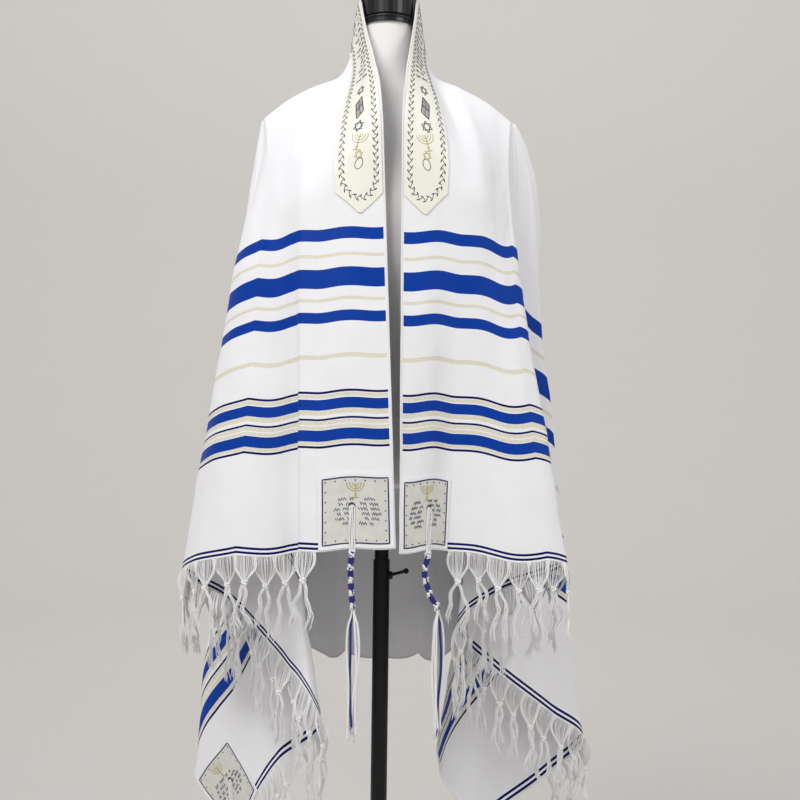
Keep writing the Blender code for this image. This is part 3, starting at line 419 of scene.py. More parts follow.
# ---------------------------------------------------------------- the drape
class Side:
    """One half of the shawl, from the middle of the back round to the front edge."""

    def __init__(self, name):
        self.name = name
        self.sign = -1.0 if name == "left" else 1.0
        self.half = CLOTH_LENGTH / 2 + self.sign * SIDE_SHIFT
        self.nape = RIDGE[0][1]
        self.total = CLOTH_DROP + self.half
        self.pitch = (CLOTH_DROP - 2 * FRINGE_START) / FRINGE_GROUPS
        self.front_turn = FRINGE_START + RIDGE_GROUPS * self.pitch
        self.back_turn = self.total - BACK_SHOULDER
        self.nape_run = self.total - self.nape

    def end_of(self, run):
        """Cloth point at the end of a fall."""
        if run <= CLOTH_DROP:
            return self.half, run
        return self.half - (run - CLOTH_DROP), CLOTH_DROP

    def ridge_share(self, run):
        """Place on the ridge where a fall starts: 0 at the neck side, 1 at the tip."""
        if run <= self.front_turn:
            return run / self.front_turn
        if run <= self.back_turn:
            return 1.0
        return max(0.0, (self.nape_run - run) / (self.nape_run - self.back_turn))

    def start_of(self, run):
        """Cloth point and place at the start of a fall."""
        if run <= self.nape_run:
            u, v, out, y, z = read_table(RIDGE, self.ridge_share(run))
            return (u, v), (out, y, z)
        u = self.total - run
        turn = u / self.nape * math.pi / 2
        out, y, z = RIDGE[0][3:]
        back = math.cos(turn)
        return (u, 0.0), (out * math.sin(turn), y + (NAPE_Y - y) * back, z + NAPE_RISE * back)

    def fall(self, run, rows):
        """Places, cloth points and cloth distances at stations down a fall."""
        table_run = run * TABLE_DROP / CLOTH_DROP
        if run > CLOTH_DROP:
            table_run = TABLE_DROP + (run - CLOTH_DROP) * TABLE_HALF_LENGTH / self.half
        row = read_table(FALLS[self.name], table_run)
        bend_out, bend_y, chest_out, chest_y, hem_out, hem_y = row
        (u0, v0), (out, y, z) = self.start_of(run)
        u1, v1 = self.end_of(run)
        length = math.hypot(u1 - u0, v1 - v0)
        start = np.array((out, y))
        chest = np.array((chest_out, chest_y))
        bend = np.array((bend_out, bend_y)) / ROLL
        hang = (np.array((hem_out, hem_y)) - chest) / (length - ROLL)
        lean = 2.0 * (chest - start) / ROLL - hang
        along = np.linspace(0.0, length, FALL_STEPS + 1)
        middle = (along[1:] + along[:-1]) / 2
        ahead = 1.0 - np.clip(middle / ROLL, 0.0, 1.0)[:, None]
        # The bend comes to nothing at both ends of the roll and is whole in its middle.
        slope = hang + (lean - hang) * ahead + bend * (24.0 * ahead**2 - 16.0 * ahead)
        steep = np.sqrt(np.clip(1.0 - np.sum(slope**2, axis=1), LEAST_DROP**2, None))
        steps = np.column_stack((slope, -steep)) * (length / FALL_STEPS)
        path = np.vstack((np.zeros(3), np.cumsum(steps, axis=0))) + (out, y, z)
        path[:, 0] *= self.sign
        at = np.concatenate((ROLL * rows[0], ROLL + (length - ROLL) * rows[1]))
        places = np.column_stack([np.interp(at, along, path[:, k]) for k in range(3)])
        share = at / length
        cloth = np.column_stack((self.sign * (u0 + (u1 - u0) * share), v0 + (v1 - v0) * share))
        return places, cloth, at

    def runs(self):
        """Where the falls stand, the same number from the ridge to the front and the back."""
        shares = np.linspace(0.0, 1.0, RIDGE_COLUMNS + 1)
        fan = self.back_turn - self.front_turn
        count = round(fan / FAN_STEP)
        return np.concatenate((
            self.front_turn * shares,
            self.front_turn + fan * np.arange(1, count) / count,
            self.nape_run - (self.nape_run - self.back_turn) * shares[::-1],
            self.nape_run + self.nape * np.arange(1, NAPE_COLUMNS + 1) / NAPE_COLUMNS,
        ))


class Cloth:
    """The shawl's middle surface as triangles, and the same triangles laid flat."""

    def __init__(self):
        self.sides = {name: Side(name) for name in FALLS}
        self.places = []
        self.flat = []
        self.from_ridge = []
        self.keys = {}
        self.triangles = []
        rows = (np.linspace(0.0, 1.0, ROLL_ROWS + 1), np.linspace(0.0, 1.0, STRAIGHT_ROWS + 1)[1:])
        for name, side in self.sides.items():
            runs = side.runs()
            columns = [self.add_column(name, side, run, run == runs[-1], rows) for run in runs]
            for near, far in zip(columns, columns[1:]):
                self.add_strip(near, far, name == "left")
        self.places = np.array(self.places)
        self.flat = np.array(self.flat)
        self.from_ridge = np.array(self.from_ridge)
        self.triangles = np.array(self.triangles)
        self.round_the_crest()
        self.ripple()
        self.normals = vertex_normals(self.places, self.triangles)
        flat = [(u, v, 0.0) for u, v in self.flat]
        a, b, c = (self.flat[self.triangles[:, k]] for k in range(3))
        area = np.abs((b - a)[:, 0] * (c - a)[:, 1] - (b - a)[:, 1] * (c - a)[:, 0])
        self.wide = self.triangles[area > 1e-9]
        self.flat_tree = BVHTree.FromPolygons(flat, self.wide.tolist())
        self.tree = BVHTree.FromPolygons(self.places.tolist(), self.triangles.tolist())

    def add_column(self, name, side, run, is_middle, rows):
        places, cloth, at = side.fall(run, rows)
        column = []
        for j, place in enumerate(places):
            key = (name, run, j)
            if j == 0 and run <= side.nape_run + 1e-9:
                key = (name, "ridge", round(side.ridge_share(run), 6))
            elif is_middle:
                key = ("middle", j)
            if key not in self.keys:
                self.keys[key] = len(self.places)
                self.places.append(place)
                self.flat.append(cloth[j])
                self.from_ridge.append(at[j] if run <= side.nape_run else 1.0)
            column.append(self.keys[key])
        return column

    def add_strip(self, near, far, flip):
        for j in range(len(near) - 1):
            a, b, c, d = near[j], near[j + 1], far[j + 1], far[j]
            for face in ((a, b, c), (a, c, d)):
                if len(set(face)) == 3:
                    self.triangles.append(face[::-1] if flip else face)

    def round_the_crest(self):
        """Cloth beside the ridge evens out into a soft bend."""
        edges = np.vstack([self.triangles[:, [k, (k + 1) % 3]] for k in range(3)])
        edges = np.unique(np.sort(edges, axis=1), axis=0)
        count = np.bincount(edges.ravel(), minlength=len(self.places))[:, None]
        soft = eased(1.0 - self.from_ridge / CREST_WIDTH)[:, None] * 0.5
        for _ in range(CREST_PASSES):
            total = np.zeros_like(self.places)
            np.add.at(total, edges[:, 0], self.places[edges[:, 1]])
            np.add.at(total, edges[:, 1], self.places[edges[:, 0]])
            self.places += (total / count - self.places) * soft

    def ripple(self):
        """Low flutes and dents of hanging cloth, along its normals."""
        normals = vertex_normals(self.places, self.triangles)
        heights = np.zeros(len(self.places))
        for k, (u, v) in enumerate(self.flat):
            for height, along, down, depth in RIPPLES:
                heights[k] += height * noise.noise(Vector((u * along, v * down, depth)))
        heights *= np.minimum(1.0, RIPPLE_START + self.from_ridge / RIPPLE_REACH)
        self.places += normals * heights[:, None]

    def on(self, u, v, lift=0.0):
        """Place and outward normal of a cloth point, raised off the cloth by lift."""
        spot, _normal, index, _distance = self.flat_tree.find_nearest(Vector((u, v, 0.0)))
        corners = self.wide[index]
        a, b, c = self.flat[corners]
        matrix = np.array(((b[0] - a[0], c[0] - a[0]), (b[1] - a[1], c[1] - a[1])))
        s, t = np.linalg.solve(matrix, np.array((spot.x, spot.y)) - a)
        weights = np.array((1.0 - s - t, s, t))
        normal = weights @ self.normals[corners]
        normal /= np.linalg.norm(normal)
        place = weights @ self.places[corners] + normal * lift
        return Vector(place), Vector(normal)

    def corner(self, side, edge, from_end, from_edge):
        """Cloth point (u, v) at distances from a corner's fringed end and long edge."""
        u = (self.sides[side].half - from_end) * self.sides[side].sign
        return u, from_edge if edge == "front" else CLOTH_DROP - from_edge

    def end_distance(self, u):
        """Distance from the nearer fringed end."""
        return self.sides["left" if u < 0.0 else "right"].half - abs(u)


def vertex_normals(places, triangles):
    a, b, c = (places[triangles[:, k]] for k in range(3))
    across = np.cross(b - a, c - a)
    normals = np.zeros_like(places)
    for k in range(3):
        np.add.at(normals, triangles[:, k], across)
    return normals / np.maximum(np.linalg.norm(normals, axis=1, keepdims=True), 1e-12)


# ---------------------------------------------------------------- building meshes
def grid_faces(across, down):
    """Quads of a grid whose vertices are numbered down each column in turn."""
    quads = []
    for i in range(across - 1):
        for k in range(i * down, (i + 1) * down - 1):
            quads.append((k, k + 1, k + down + 1, k + down))
    return quads


def ring_faces(rings, sides, capped=True):
    """Faces through rings of points; a ring's last point doubles its first, for the UVs."""
    faces = grid_faces(rings, sides + 1)
    if capped:
        faces.append(tuple(range(sides - 1, -1, -1)))
        faces.append(tuple((rings - 1) * (sides + 1) + m for m in range(sides)))
    return faces


class Shape:
    """Gathers vertices, faces, their UV coordinates and materials into one piece."""

    def __init__(self):
        self.places, self.faces, self.uvs, self.finishes = [], [], [], []

    def add(self, places, faces, uvs, finish=0):
        """uvs holds one pair a vertex; faces count from the first vertex added here."""
        base = len(self.places)
        self.places.extend(tuple(p) for p in places)
        for face in faces:
            self.faces.append([base + k for k in face])
            self.uvs.extend(tuple(uvs[k]) for k in face)
            self.finishes.append(finish)

    def tube(self, path, radii, sides=6, finish=0, flat=1.0, up=None, capped=True):
        """A cord along a path; flat squeezes it along 'up', and UVs run along and round it."""
        path = [Vector(p) for p in path]
        last = len(path) - 1
        radii = [radii] * len(path) if isinstance(radii, float) else radii
        places, uvs, distance = [], [], 0.0
        frame = Vector(up) if up is not None else None
        for k, place in enumerate(path):
            ahead = (path[min(k + 1, last)] - path[max(k - 1, 0)]).normalized()
            if frame is None:
                frame = ahead.orthogonal()
            frame = (frame - ahead * frame.dot(ahead)).normalized()
            across = ahead.cross(frame)
            distance += (place - path[k - 1]).length if k else 0.0
            for m in range(sides + 1):
                turn = 2 * math.pi * m / sides
                offset = across * math.cos(turn) + frame * (math.sin(turn) * flat)
                places.append(place + offset * radii[k])
                uvs.append((distance, m / sides))
        self.add(places, ring_faces(len(path), sides, capped), uvs, finish)

    def build(self, name, slot, finishes, nodes=(), crease=50.0):
        """The piece, riding with the form and standing for these nodes; crease in degrees."""
        mesh = bpy.data.meshes.new(name)
        mesh.from_pydata(self.places, [], self.faces)
        layer = mesh.uv_layers.new(name="UVMap")
        layer.data.foreach_set("uv", np.array(self.uvs, dtype=np.float32).ravel())
        for finish in finishes:
            mesh.materials.append(finish)
        mesh.polygons.foreach_set("material_index", self.finishes)
        mesh.shade_smooth()
        mesh.set_sharp_from_angle(angle=math.radians(crease))
        mesh.update()
        made = bpy.data.objects.new(name, mesh)
        bpy.context.scene.collection.objects.link(made)
        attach(made, "form")
        if nodes:
            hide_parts(*nodes)
        return made


# ---------------------------------------------------------------- the cloth and what lies on it
def make_shawl(cloth, finish):
    shape = Shape()
    uvs = [(cloth.end_distance(u), v) for u, v in cloth.flat]
    shape.add(cloth.places, cloth.triangles.tolist(), uvs)
    nodes = [f"shawl_{stretch}" for stretch in STRETCHES]
    return shape.build("shawl", "woven_cloth", [finish], nodes, 180.0)


def make_edges(cloth, finish):
    """The narrow rolled hem along the neck edge, the fringed ends and the lower edge."""
    shape = Shape()
    across = np.linspace(1e-4, 1.0, 240)
    down = np.linspace(0.0, CLOTH_DROP, 260)
    for side in cloth.sides.values():
        reach = side.half * side.sign
        for points in (
            [(reach * s, 0.0) for s in across],
            [(reach, v) for v in down],
            [(reach * s, CLOTH_DROP) for s in across[::-1]],
        ):
            shape.tube([cloth.on(u, v)[0] for u, v in points], EDGE_RADIUS)
    shape.build("shawl_edges", "woven_cloth", [finish])


def lay_on(cloth, node, points, down, finish):
    """Satin in place of a node: a thin slab on the cloth from a grid of (u, v, x, y) points."""
    across = len(points) // down
    rim = list(range(down)) + [i * down + down - 1 for i in range(1, across)]
    rim += [(across - 1) * down + j for j in range(down - 2, -1, -1)]
    rim += [i * down for i in range(across - 2, 0, -1)]
    places = [cloth.on(u, v, SATIN_LIFT)[0] for u, v, _x, _y in points]
    places += [cloth.on(*points[k][:2], SATIN_FOOT)[0] for k in rim]
    uvs = [point[2:] for point in points] + [points[k][2:] for k in rim]
    faces = grid_faces(across, down)
    for n, k in enumerate(rim):
        m = (n + 1) % len(rim)
        faces.append((k, len(points) + n, len(points) + m, rim[m]))
    shape = Shape()
    shape.add(places, faces, uvs)
    return shape.build(f"{node}_satin", "satin_band", [finish], [node])


def band_point(x, w):
    """Cloth point of a neckband point: x along from the nape, w across from its middle."""
    return x, BAND_INSET + BAND_WIDTH / 2 + w


def make_neckband(cloth, finish):
    points = []
    for i in range(-BAND_COLUMNS, BAND_COLUMNS + 1):
        x = BAND_HALF_LENGTH * i / BAND_COLUMNS
        narrow = min(1.0, BAND_TIP + (1.0 - BAND_TIP) * (BAND_HALF_LENGTH - abs(x)) / BAND_POINT)
        for j in range(BAND_ROWS + 1):
            w = BAND_WIDTH / 2 * (2 * j / BAND_ROWS - 1) * narrow
            points.append((*band_point(x, w), x, w))
    return lay_on(cloth, "neckband", points, BAND_ROWS + 1, finish)


def make_patch(cloth, side, edge, finish):
    points = []
    for i in range(PATCH_CELLS + 1):
        for j in range(PATCH_CELLS + 1):
            a, b = PATCH_SIDE * i / PATCH_CELLS, PATCH_SIDE * j / PATCH_CELLS
            points.append((*cloth.corner(side, edge, PATCH_INSET + a, PATCH_INSET + b), a, b))
    return lay_on(cloth, f"patch_{edge}_{side}", points, PATCH_CELLS + 1, finish)


# ---------------------------------------------------------------- embroidery
class Embroidery:
    """Threads sewn on a flat piece, whose own (x, y) points go to cloth points by a rule."""

    def __init__(self, cloth, to_cloth):
        self.cloth = cloth
        self.to_cloth = to_cloth
        self.lean = 0.0     # across for each metre along, so that a motif slants
        self.about = 0.0    # the place along that doesn't move then
        self.shape = Shape()

    def line(self, points, width, thread, closed=False):
        """A raised line of satin stitch, split so that it follows the cloth's bends."""
        points = [(x, y + self.lean * (x - self.about)) for x, y in points]
        if closed:
            points.append(points[0])
        path = points[:1]
        for (x0, y0), (x1, y1) in zip(points, points[1:]):
            steps = max(1, math.ceil(math.dist((x0, y0), (x1, y1)) / STITCH_STEP))
            for k in range(1, steps + 1):
                path.append((x0 + (x1 - x0) * (k / steps), y0 + (y1 - y0) * (k / steps)))
        laid = [self.cloth.on(*self.to_cloth(*at), SATIN_LIFT + STITCH_GAP) for at in path]
        self.shape.tube([place for place, _ in laid], width / 2, 6, thread, STITCH_HEIGHT, laid[0][1])

    def ring(self, x, y, radius_x, radius_y, width, thread, sides=20):
        turns = [2 * math.pi * k / sides for k in range(sides)]
        points = [(x + radius_x * math.cos(t), y + radius_y * math.sin(t)) for t in turns]
        self.line(points, width, thread, closed=True)

    def star(self, x, y, radius, width, thread):
        """Two triangles, one turned over the other."""
        for way in (1, -1):
            turns = [2 * math.pi * k / 3 for k in range(3)]
            points = [(x + way * radius * math.cos(t), y + way * radius * math.sin(t)) for t in turns]
            self.line(points, width, thread, closed=True)

    def lattice(self, x, y, long, wide, skew, width, thread):
        """A framed field of close lines, parted in two; skew slides its sides along x."""
        a, b = long / 2, wide / 2
        bars = [(ahead, 0.0, width) for ahead in (-a, 0.0, a)]
        bars += [(long * k / LATTICE_CELLS - a, LATTICE_TILT, width * 0.45)
                 for k in range(1, LATTICE_CELLS)]
        for ahead, tilt, thick in bars:
            slide = skew * b + tilt
            self.line([(x + ahead - slide, y - b), (x + ahead + slide, y + b)], thick, thread)
        for way, thick in ((-1, 1.0), (1, 1.0), (0, 0.5)):
            middle = x + way * skew * b
            ends = [(middle - a, y + way * b), (middle + a, y + way * b)]
            self.line(ends, width * thick, thread)

    def menorah(self, x, y, size, width, up, thread):
        """Seven branches on a stem with a stepped foot, in shares of its size.

        'up' is the way it stands along x."""
        def spot(rise, across):
            return x + up * size * rise, y + size * across

        for k in (1, 2, 3):
            for way in (-1, 1):
                arm = [spot(0.5, way * 0.19 * k)]
                for step in range(7):
                    turn = math.pi / 2 * step / 6
                    arm.append(spot(0.44 - 0.17 * k * math.sin(turn), way * 0.19 * k * math.cos(turn)))
                self.line(arm, width, thread)
        for ends, thick in (
            ((spot(0.5, 0.0), spot(-0.5, 0.0)), 1.3),
            ((spot(-0.5, -0.2), spot(-0.5, 0.2)), 1.3),
            ((spot(-0.31, -0.1), spot(-0.31, 0.1)), 1.0),
        ):
            self.line(ends, width * thick, thread)

    def vine(self, path, width, thread):
        """A zigzag stem with a leaf stitch at each turn, along a path of (x, y) points."""
        stem = []
        for k, (x, y, ahead_x, ahead_y) in enumerate(spaced(path, VINE_STEP)):
            way = 1 if k % 2 else -1
            off_x, off_y = -ahead_y * way * VINE_HEIGHT, ahead_x * way * VINE_HEIGHT
            stem.append((x + off_x, y + off_y))
            leaf = (x + ahead_x * VINE_STEP * 0.7 + off_x * 1.5,
                    y + ahead_y * VINE_STEP * 0.7 + off_y * 1.5)
            self.line([stem[-1], leaf], width * 1.2, thread)
        self.line(stem, width * 0.8, thread)

    def wave(self, rng, x, y, reach, height, width, thread):
        """A row of plain zigzag stitching across y, broken into short runs."""
        at = y - reach / 2
        while at < y + reach / 2 - height:
            points = []
            for k in range(rng.randint(4, 9)):
                tall = height * rng.uniform(0.30, 0.50)
                points.append((x + (tall if k % 2 else -tall), at))
                at += height * rng.uniform(0.26, 0.40)
                if at > y + reach / 2:
                    break
            self.line(points, width, thread)
            at += height * 0.45


def spaced(path, step):
    """Points a step apart along a path, each with the unit direction there."""
    path = np.array(path)
    along = np.concatenate(([0.0], np.cumsum(np.hypot(*np.diff(path, axis=0).T))))
    at = np.arange(step / 2, along[-1], step)
    x, y = (np.interp(at, along, path[:, k]) for k in range(2))
    ahead_x, ahead_y = (np.interp(at + step * 0.3, along, path[:, k]) for k in range(2))
    ahead_x, ahead_y = ahead_x - x, ahead_y - y
    size = np.maximum(np.hypot(ahead_x, ahead_y), 1e-9)
    return list(zip(x, y, ahead_x / size, ahead_y / size))


def embroider_band(cloth, threads):
    rng = random.Random(5)
    sewn = Embroidery(cloth, band_point)
    edge = BAND_WIDTH / 2 - VINE_INSET
    turn, tip = BAND_HALF_LENGTH - VINE_TURN, BAND_HALF_LENGTH - VINE_END
    border = [(0.0, edge), (turn, edge)]
    for k in range(1, 13):
        angle = math.pi * k / 12
        border.append((turn + (tip - turn) * math.sin(angle), edge * math.cos(angle)))
    border.append((0.0, -edge))
    for way in (-1, 1):
        sewn.lean = 0.0
        sewn.vine([(way * x, y) for x, y in border], 0.0012, GREY_LINE)
        for k in range(BAND_WAVES):
            x = way * (BAND_WAVE_START - BAND_WAVE_STEP * k)
            sewn.wave(rng, x, 0.0, BAND_WAVE_WIDTH, 0.0070, 0.0011, GREY_LINE)
        sewn.lean = way * -MOTIF_LEAN
        for at, motif, sizes, thread in (
            # from the nape, motif, its sizes and line width, thread
            (0.393, sewn.ring, (0.0080, 0.0058, 0.0009), GREY_LINE),
            (0.381, sewn.star, (0.0070, 0.0009), GOLD_LINE),
            (0.363, sewn.menorah, (0.0230, 0.0010, -way), GOLD_LINE),
            (0.340, sewn.star, (0.0092, 0.0013), GREY_LINE),
            (0.276, sewn.star, (0.0090, 0.0013), GREY_LINE),
        ):
            sewn.about = way * at
            motif(way * at, 0.0, *sizes, thread=thread)
        sewn.about, sewn.lean = way * LATTICE_AT, way * MOTIF_LEAN * 0.5
        sewn.lattice(way * LATTICE_AT, 0.0, 0.0260, 0.0150, way * 0.8, 0.0015, GREY_LINE)
    sewn.shape.build("neckband_embroidery", "satin_band", threads)


def embroider_patch(cloth, side, edge, threads):
    def to_cloth(x, y):
        return cloth.corner(side, edge, PATCH_INSET + x, PATCH_INSET + y)

    rng = random.Random(len(side) + 3 * len(edge))
    sewn = Embroidery(cloth, to_cloth)
    low, high = FRAME_INSET, PATCH_SIDE - FRAME_INSET
    frame = [(low, low), (high, low), (high, high), (low, high)]
    sewn.line(frame, FRAME_WIDTH, NAVY_LINE, closed=True)
    near, far = DOT_INSET, PATCH_SIDE - DOT_INSET
    for k in range(PATCH_DOTS):
        at = near + (far - near) * k / (PATCH_DOTS - 1)
        for x, y in ((at, near), (at, far), (near, at), (far, at)):
            sewn.line([(x - DOT_HALF, y), (x + DOT_HALF, y)], DOT_WIDTH, NAVY_LINE)
    middle = PATCH_SIDE / 2
    sewn.menorah(0.0765, middle, 0.020, 0.0013, 1.0, GOLD_LINE)
    for x, reach in PATCH_WAVES:
        for way in (-1, 1):
            start = middle + way * (reach / 4 + 0.002)
            sewn.wave(rng, x, start, reach / 2 - 0.002, 0.0052, 0.0010, NAVY_LINE)
    eyelet = EYELET_INSET - PATCH_INSET
    sewn.ring(eyelet, eyelet, 0.0040, 0.0040, 0.0020, GREY_LINE)
    sewn.shape.build(f"patch_{edge}_{side}_embroidery", "satin_band", threads)


# ---------------------------------------------------------------- fringe and tassels
def bezier(a, b, c, d, steps):
    """Points of a cubic from a to d."""
    shares = [k / steps for k in range(steps + 1)]
    return [
        a * (1 - t) ** 3 + b * 3 * t * (1 - t) ** 2 + c * 3 * t * t * (1 - t) + d * t**3
        for t in shares
    ]


def pushed_clear(tree, place, clearance):
    """A hanging point moved level away from the cloth until it is this far off."""
    for _ in range(4):
        nearest, _normal, _face, distance = tree.find_nearest(place)
        if distance >= clearance:
            break
        away = place - nearest
        away.z = 0.0
        place = place + away.normalized() * (clearance - distance + 0.0005)
    return place


def knot(shape, middle, across, deep, size, cord):
    """A cord knotted on itself: a closed curve that crosses itself three times."""
    points = []
    for k in range(KNOT_SIDES + KNOT_OVERLAP):
        t = 2 * math.pi * k / KNOT_SIDES
        a = (math.sin(t) + 2 * math.sin(2 * t)) / 3
        b = (math.cos(t) - 2 * math.cos(2 * t)) / 3
        points.append(middle + across * (a * size) + Vector((0, 0, b * size))
                      + deep * (-math.sin(3 * t) * size * 0.45))
    shape.tube(points, cord)


def make_fringe(cloth, name, finish):
    """Groups of yarns drawn together in knots, neighbours in turn at two depths."""
    side = cloth.sides[name]
    rng = random.Random(11 if name == "left" else 23)
    own = random.Random(name)
    shape = Shape()
    end = side.half * side.sign
    for k in range(FRINGE_GROUPS):
        if k in TUCKED_GROUPS[name]:
            continue
        v0 = FRINGE_START + side.pitch * k
        shares = [LOCK_MARGIN + (1 - 2 * LOCK_MARGIN) * n / (YARNS - 1) for n in range(YARNS)]
        starts = [cloth.on(end, v0 + side.pitch * share)[0] for share in shares]
        middle, out = cloth.on(end, v0 + side.pitch / 2)
        above, _out = cloth.on(end - 0.010 * side.sign, v0 + side.pitch / 2)
        down = (middle - above).normalized()
        hem = (starts[-1] - starts[0]).normalized()
        off_cloth = hem.cross(-out)
        if off_cloth.z > 0.0:
            off_cloth = -off_cloth
        hang = (Vector((0, 0, -1)) + off_cloth * LOCK_STIFFNESS).normalized()
        across = Vector((hem.x, hem.y, 0.0)).normalized()
        deep = Vector((-across.y, across.x, 0.0))
        if deep.dot(-out) < 0.0:
            deep = -deep
        plane = KNOT_PLANES[k % 2]
        place = middle + hang * (FRINGE_KNOT_DROP + rng.uniform(0.0, 0.006)) + deep * plane
        place = pushed_clear(cloth.tree, place, LOCK_CLEARANCE + plane)
        for n, start in enumerate(starts):
            share = n / (YARNS - 1) - 0.5
            outer = min(n, YARNS - 1 - n) < EDGE_YARNS
            loose = 1.0 + (0.35 if outer else own.uniform(-0.55, 0.45))
            belly = share * (0.012 if outer else 0.004) + own.uniform(-0.002, 0.002)
            meet = place + across * (share * 0.0040) + deep * own.uniform(-0.0015, 0.0015)
            path = bezier(
                start,
                start + down * 0.015 * loose + across * belly + deep * own.uniform(-0.003, 0.003),
                meet + Vector((0, 0, 0.013 * loose)) + across * share * 0.020,
                meet, 9,
            )
            radius = EDGE_YARN_RADIUS if outer else YARN_RADIUS * own.uniform(0.7, 1.3)
            shape.tube(path, radius, 5 if outer else 4, capped=False)
        knot(shape, place - Vector((0, 0, 0.001)), across, deep, *FRINGE_KNOT)
        level = math.hypot(hem.x, hem.y)
        for way in (-1, 1):
            splay = way * rng.uniform(0.003, 0.010) * level**4
            sway = rng.uniform(-0.001, 0.001)
            reach = FRINGE_TAIL * rng.uniform(0.80, 1.15)
            add_tail(shape, cloth.tree, own, place, (across, deep), (splay, sway, reach, way), plane)
    shape.build(f"fringe_{name}_yarn", "fringe_yarn", [finish], [f"fringe_{name}"])


def add_tail(shape, tree, own, place, axes, course, plane):
    """The loose yarns below a knot on one side: a crimped lock that opens at its cut end."""
    across, deep = axes
    splay, sway, reach, way = course
    bend = own.uniform(-0.006, 0.008) * way
    curl = own.uniform(0.0015, 0.0032)
    phase = own.uniform(0.0, 2 * math.pi)
    middle = []
    for k in range(TAIL_STEPS + 1):
        s = k / TAIL_STEPS
        sideways = splay * s + bend * math.sin(math.pi * s) + way * 0.0015
        sideways += curl * eased(s / 0.25) * math.sin(phase + s * 9.0)
        point = place + across * sideways + deep * sway * s
        point.z -= 0.002 + (0.004 + reach) * s
        middle.append(pushed_clear(tree, point, TAIL_CLEARANCE + plane * 0.6) if k else point)
    for n in range(TAIL_YARNS):
        share = n / (TAIL_YARNS - 1) - 0.5
        depth = 0.0012 * math.sin(n * 2.4)
        length = own.uniform(0.90, 1.06)
        wander = own.uniform(-1.0, 1.0)
        crimp = own.uniform(0.0, 2 * math.pi)
        path = []
        for k, point in enumerate(middle):
            s = k / TAIL_STEPS
            spread = TAIL_NECK + (TAIL_SPREAD - TAIL_NECK) * s * s
            offset = share * spread + wander * 0.0022 * s**3
            offset += 0.0006 * math.sin(crimp + s * 21.0) * eased(s / 0.2)
            moved = point + across * offset + deep * depth * (0.6 + 0.6 * s)
            moved.z -= (length - 1.0) * reach * s
            path.append(moved)
        shape.tube(path, [YARN_RADIUS * 1.15] * TAIL_STEPS + [YARN_RADIUS * 0.5], 4)


def make_tassel(cloth, side, edge, finishes):
    """A doubled cord through the eyelet, knots and windings in turn, and eight strands."""
    rng = random.Random(len(side) * 7 + len(edge))
    own = random.Random(side + edge)
    shape = Shape()
    route = []
    for k in range(ROUTE_STEPS + 1):
        inset = EYELET_INSET * (1 - k / ROUTE_STEPS)
        from_edge = inset if edge == "back" else EYELET_INSET
        route.append(cloth.on(*cloth.corner(side, edge, inset, from_edge), CORD_LIFT))
    hem, hem_out = route[-1]
    run_on = (hem - route[-2][0]).normalized()
    bend = hem + run_on * (TASSEL_LEAD / 2)
    top = bend + Vector((0, 0, -TASSEL_LEAD / 2)) + run_on * 0.002
    deep = Vector((hem_out.x, hem_out.y, 0.0)).normalized()
    across = Vector((-deep.y, deep.x, 0.0))
    sway = TASSEL_SWAY.get(f"{edge}_{side}", ((0.0, 0.0), (1.0, 0.0)))

    def column(share):
        return top + Vector((read_table(sway, share)[0], 0.0, -share * TASSEL_COLUMN))

    down_cord = [place for place, _ in route] + [bend, top - Vector((0, 0, 0.002))]
    level = (route[1][0] - route[0][0]).cross(route[0][1]).normalized()
    if level.dot(across) < 0.0:
        level = -level
    for n in range(CORDS):
        offset = (n - (CORDS - 1) / 2) * CORD_PITCH
        path = [route[0][0] + level * offset * 0.4 - route[0][1] * 0.003]
        for k, place in enumerate(down_cord):
            sag = math.sin(k * 1.3 + n * 2.0) * 0.0004
            path.append(place + (level if k <= ROUTE_STEPS else across) * (offset + sag))
        shape.tube(path, CORD_RADIUS)
    core = [column(k / CORE_STEPS) for k in range(CORE_STEPS + 1)]
    shape.tube(core, CORE_RADIUS, 8, BLUE_YARN)
    turns = 2 * TASSEL_KNOTS - 1
    for k in range(turns):
        if k % 2 == 0:
            for lift in (-KNOT_SHIFT, KNOT_SHIFT):
                turn = own.uniform(0.0, math.pi)
                a = across * math.cos(turn) + deep * math.sin(turn)
                d = deep * math.cos(turn) - across * math.sin(turn)
                knot(shape, column((k + 0.5) / turns) + Vector((0, 0, lift)), a, d, *TASSEL_KNOT)
            continue
        path = []
        for m in range(COILS * COIL_SIDES + 1):
            turn = 2 * math.pi * m / COIL_SIDES
            out = across * math.cos(turn) + deep * math.sin(turn)
            share = (k + m / (COILS * COIL_SIDES)) / turns
            path.append(column(share) + out * WINDING_RADIUS)
        shape.tube(path, COIL_RADIUS, 5, BLUE_YARN)
    foot = column(1.0)
    for n in range(2 * CORDS):
        shift = rng.uniform(-0.0008, 0.0008)
        reach = TASSEL_STRANDS * rng.uniform(0.90, 1.04) + 0.008
        lobe = -1 if n < CORDS else 1
        a = lobe * 0.0042 + ((n % 2) - 0.5) * 0.0028
        d = (n // 2 % 2 - 0.5) * 0.0032
        path = []
        for k in range(STRAND_STEPS + 1):
            s = k / STRAND_STEPS
            open_out = eased(s / 0.14)
            wave = math.sin(s * 8.0 + n * 1.7) * 0.0012 * eased(s / 0.3)
            wave += lobe * 0.0016 * math.sin(s * 5.0) * eased(s / 0.3)
            point = foot + across * (a * open_out + shift + wave) + deep * (d * open_out + wave * 0.4)
            point.z -= reach * s
            path.append(point)
        colour = BLUE_YARN if n == BLUE_STRAND[side] else WHITE_YARN
        shape.tube(path, STRAND_RADIUS, 6, colour)
        for _ in range(FIBRES):
            add_fibre(shape, own, path[-1], colour)
    node = f"tassel_{edge}_{side}"
    shape.build(f"{node}_cord", "tassel_cord", finishes, [node])


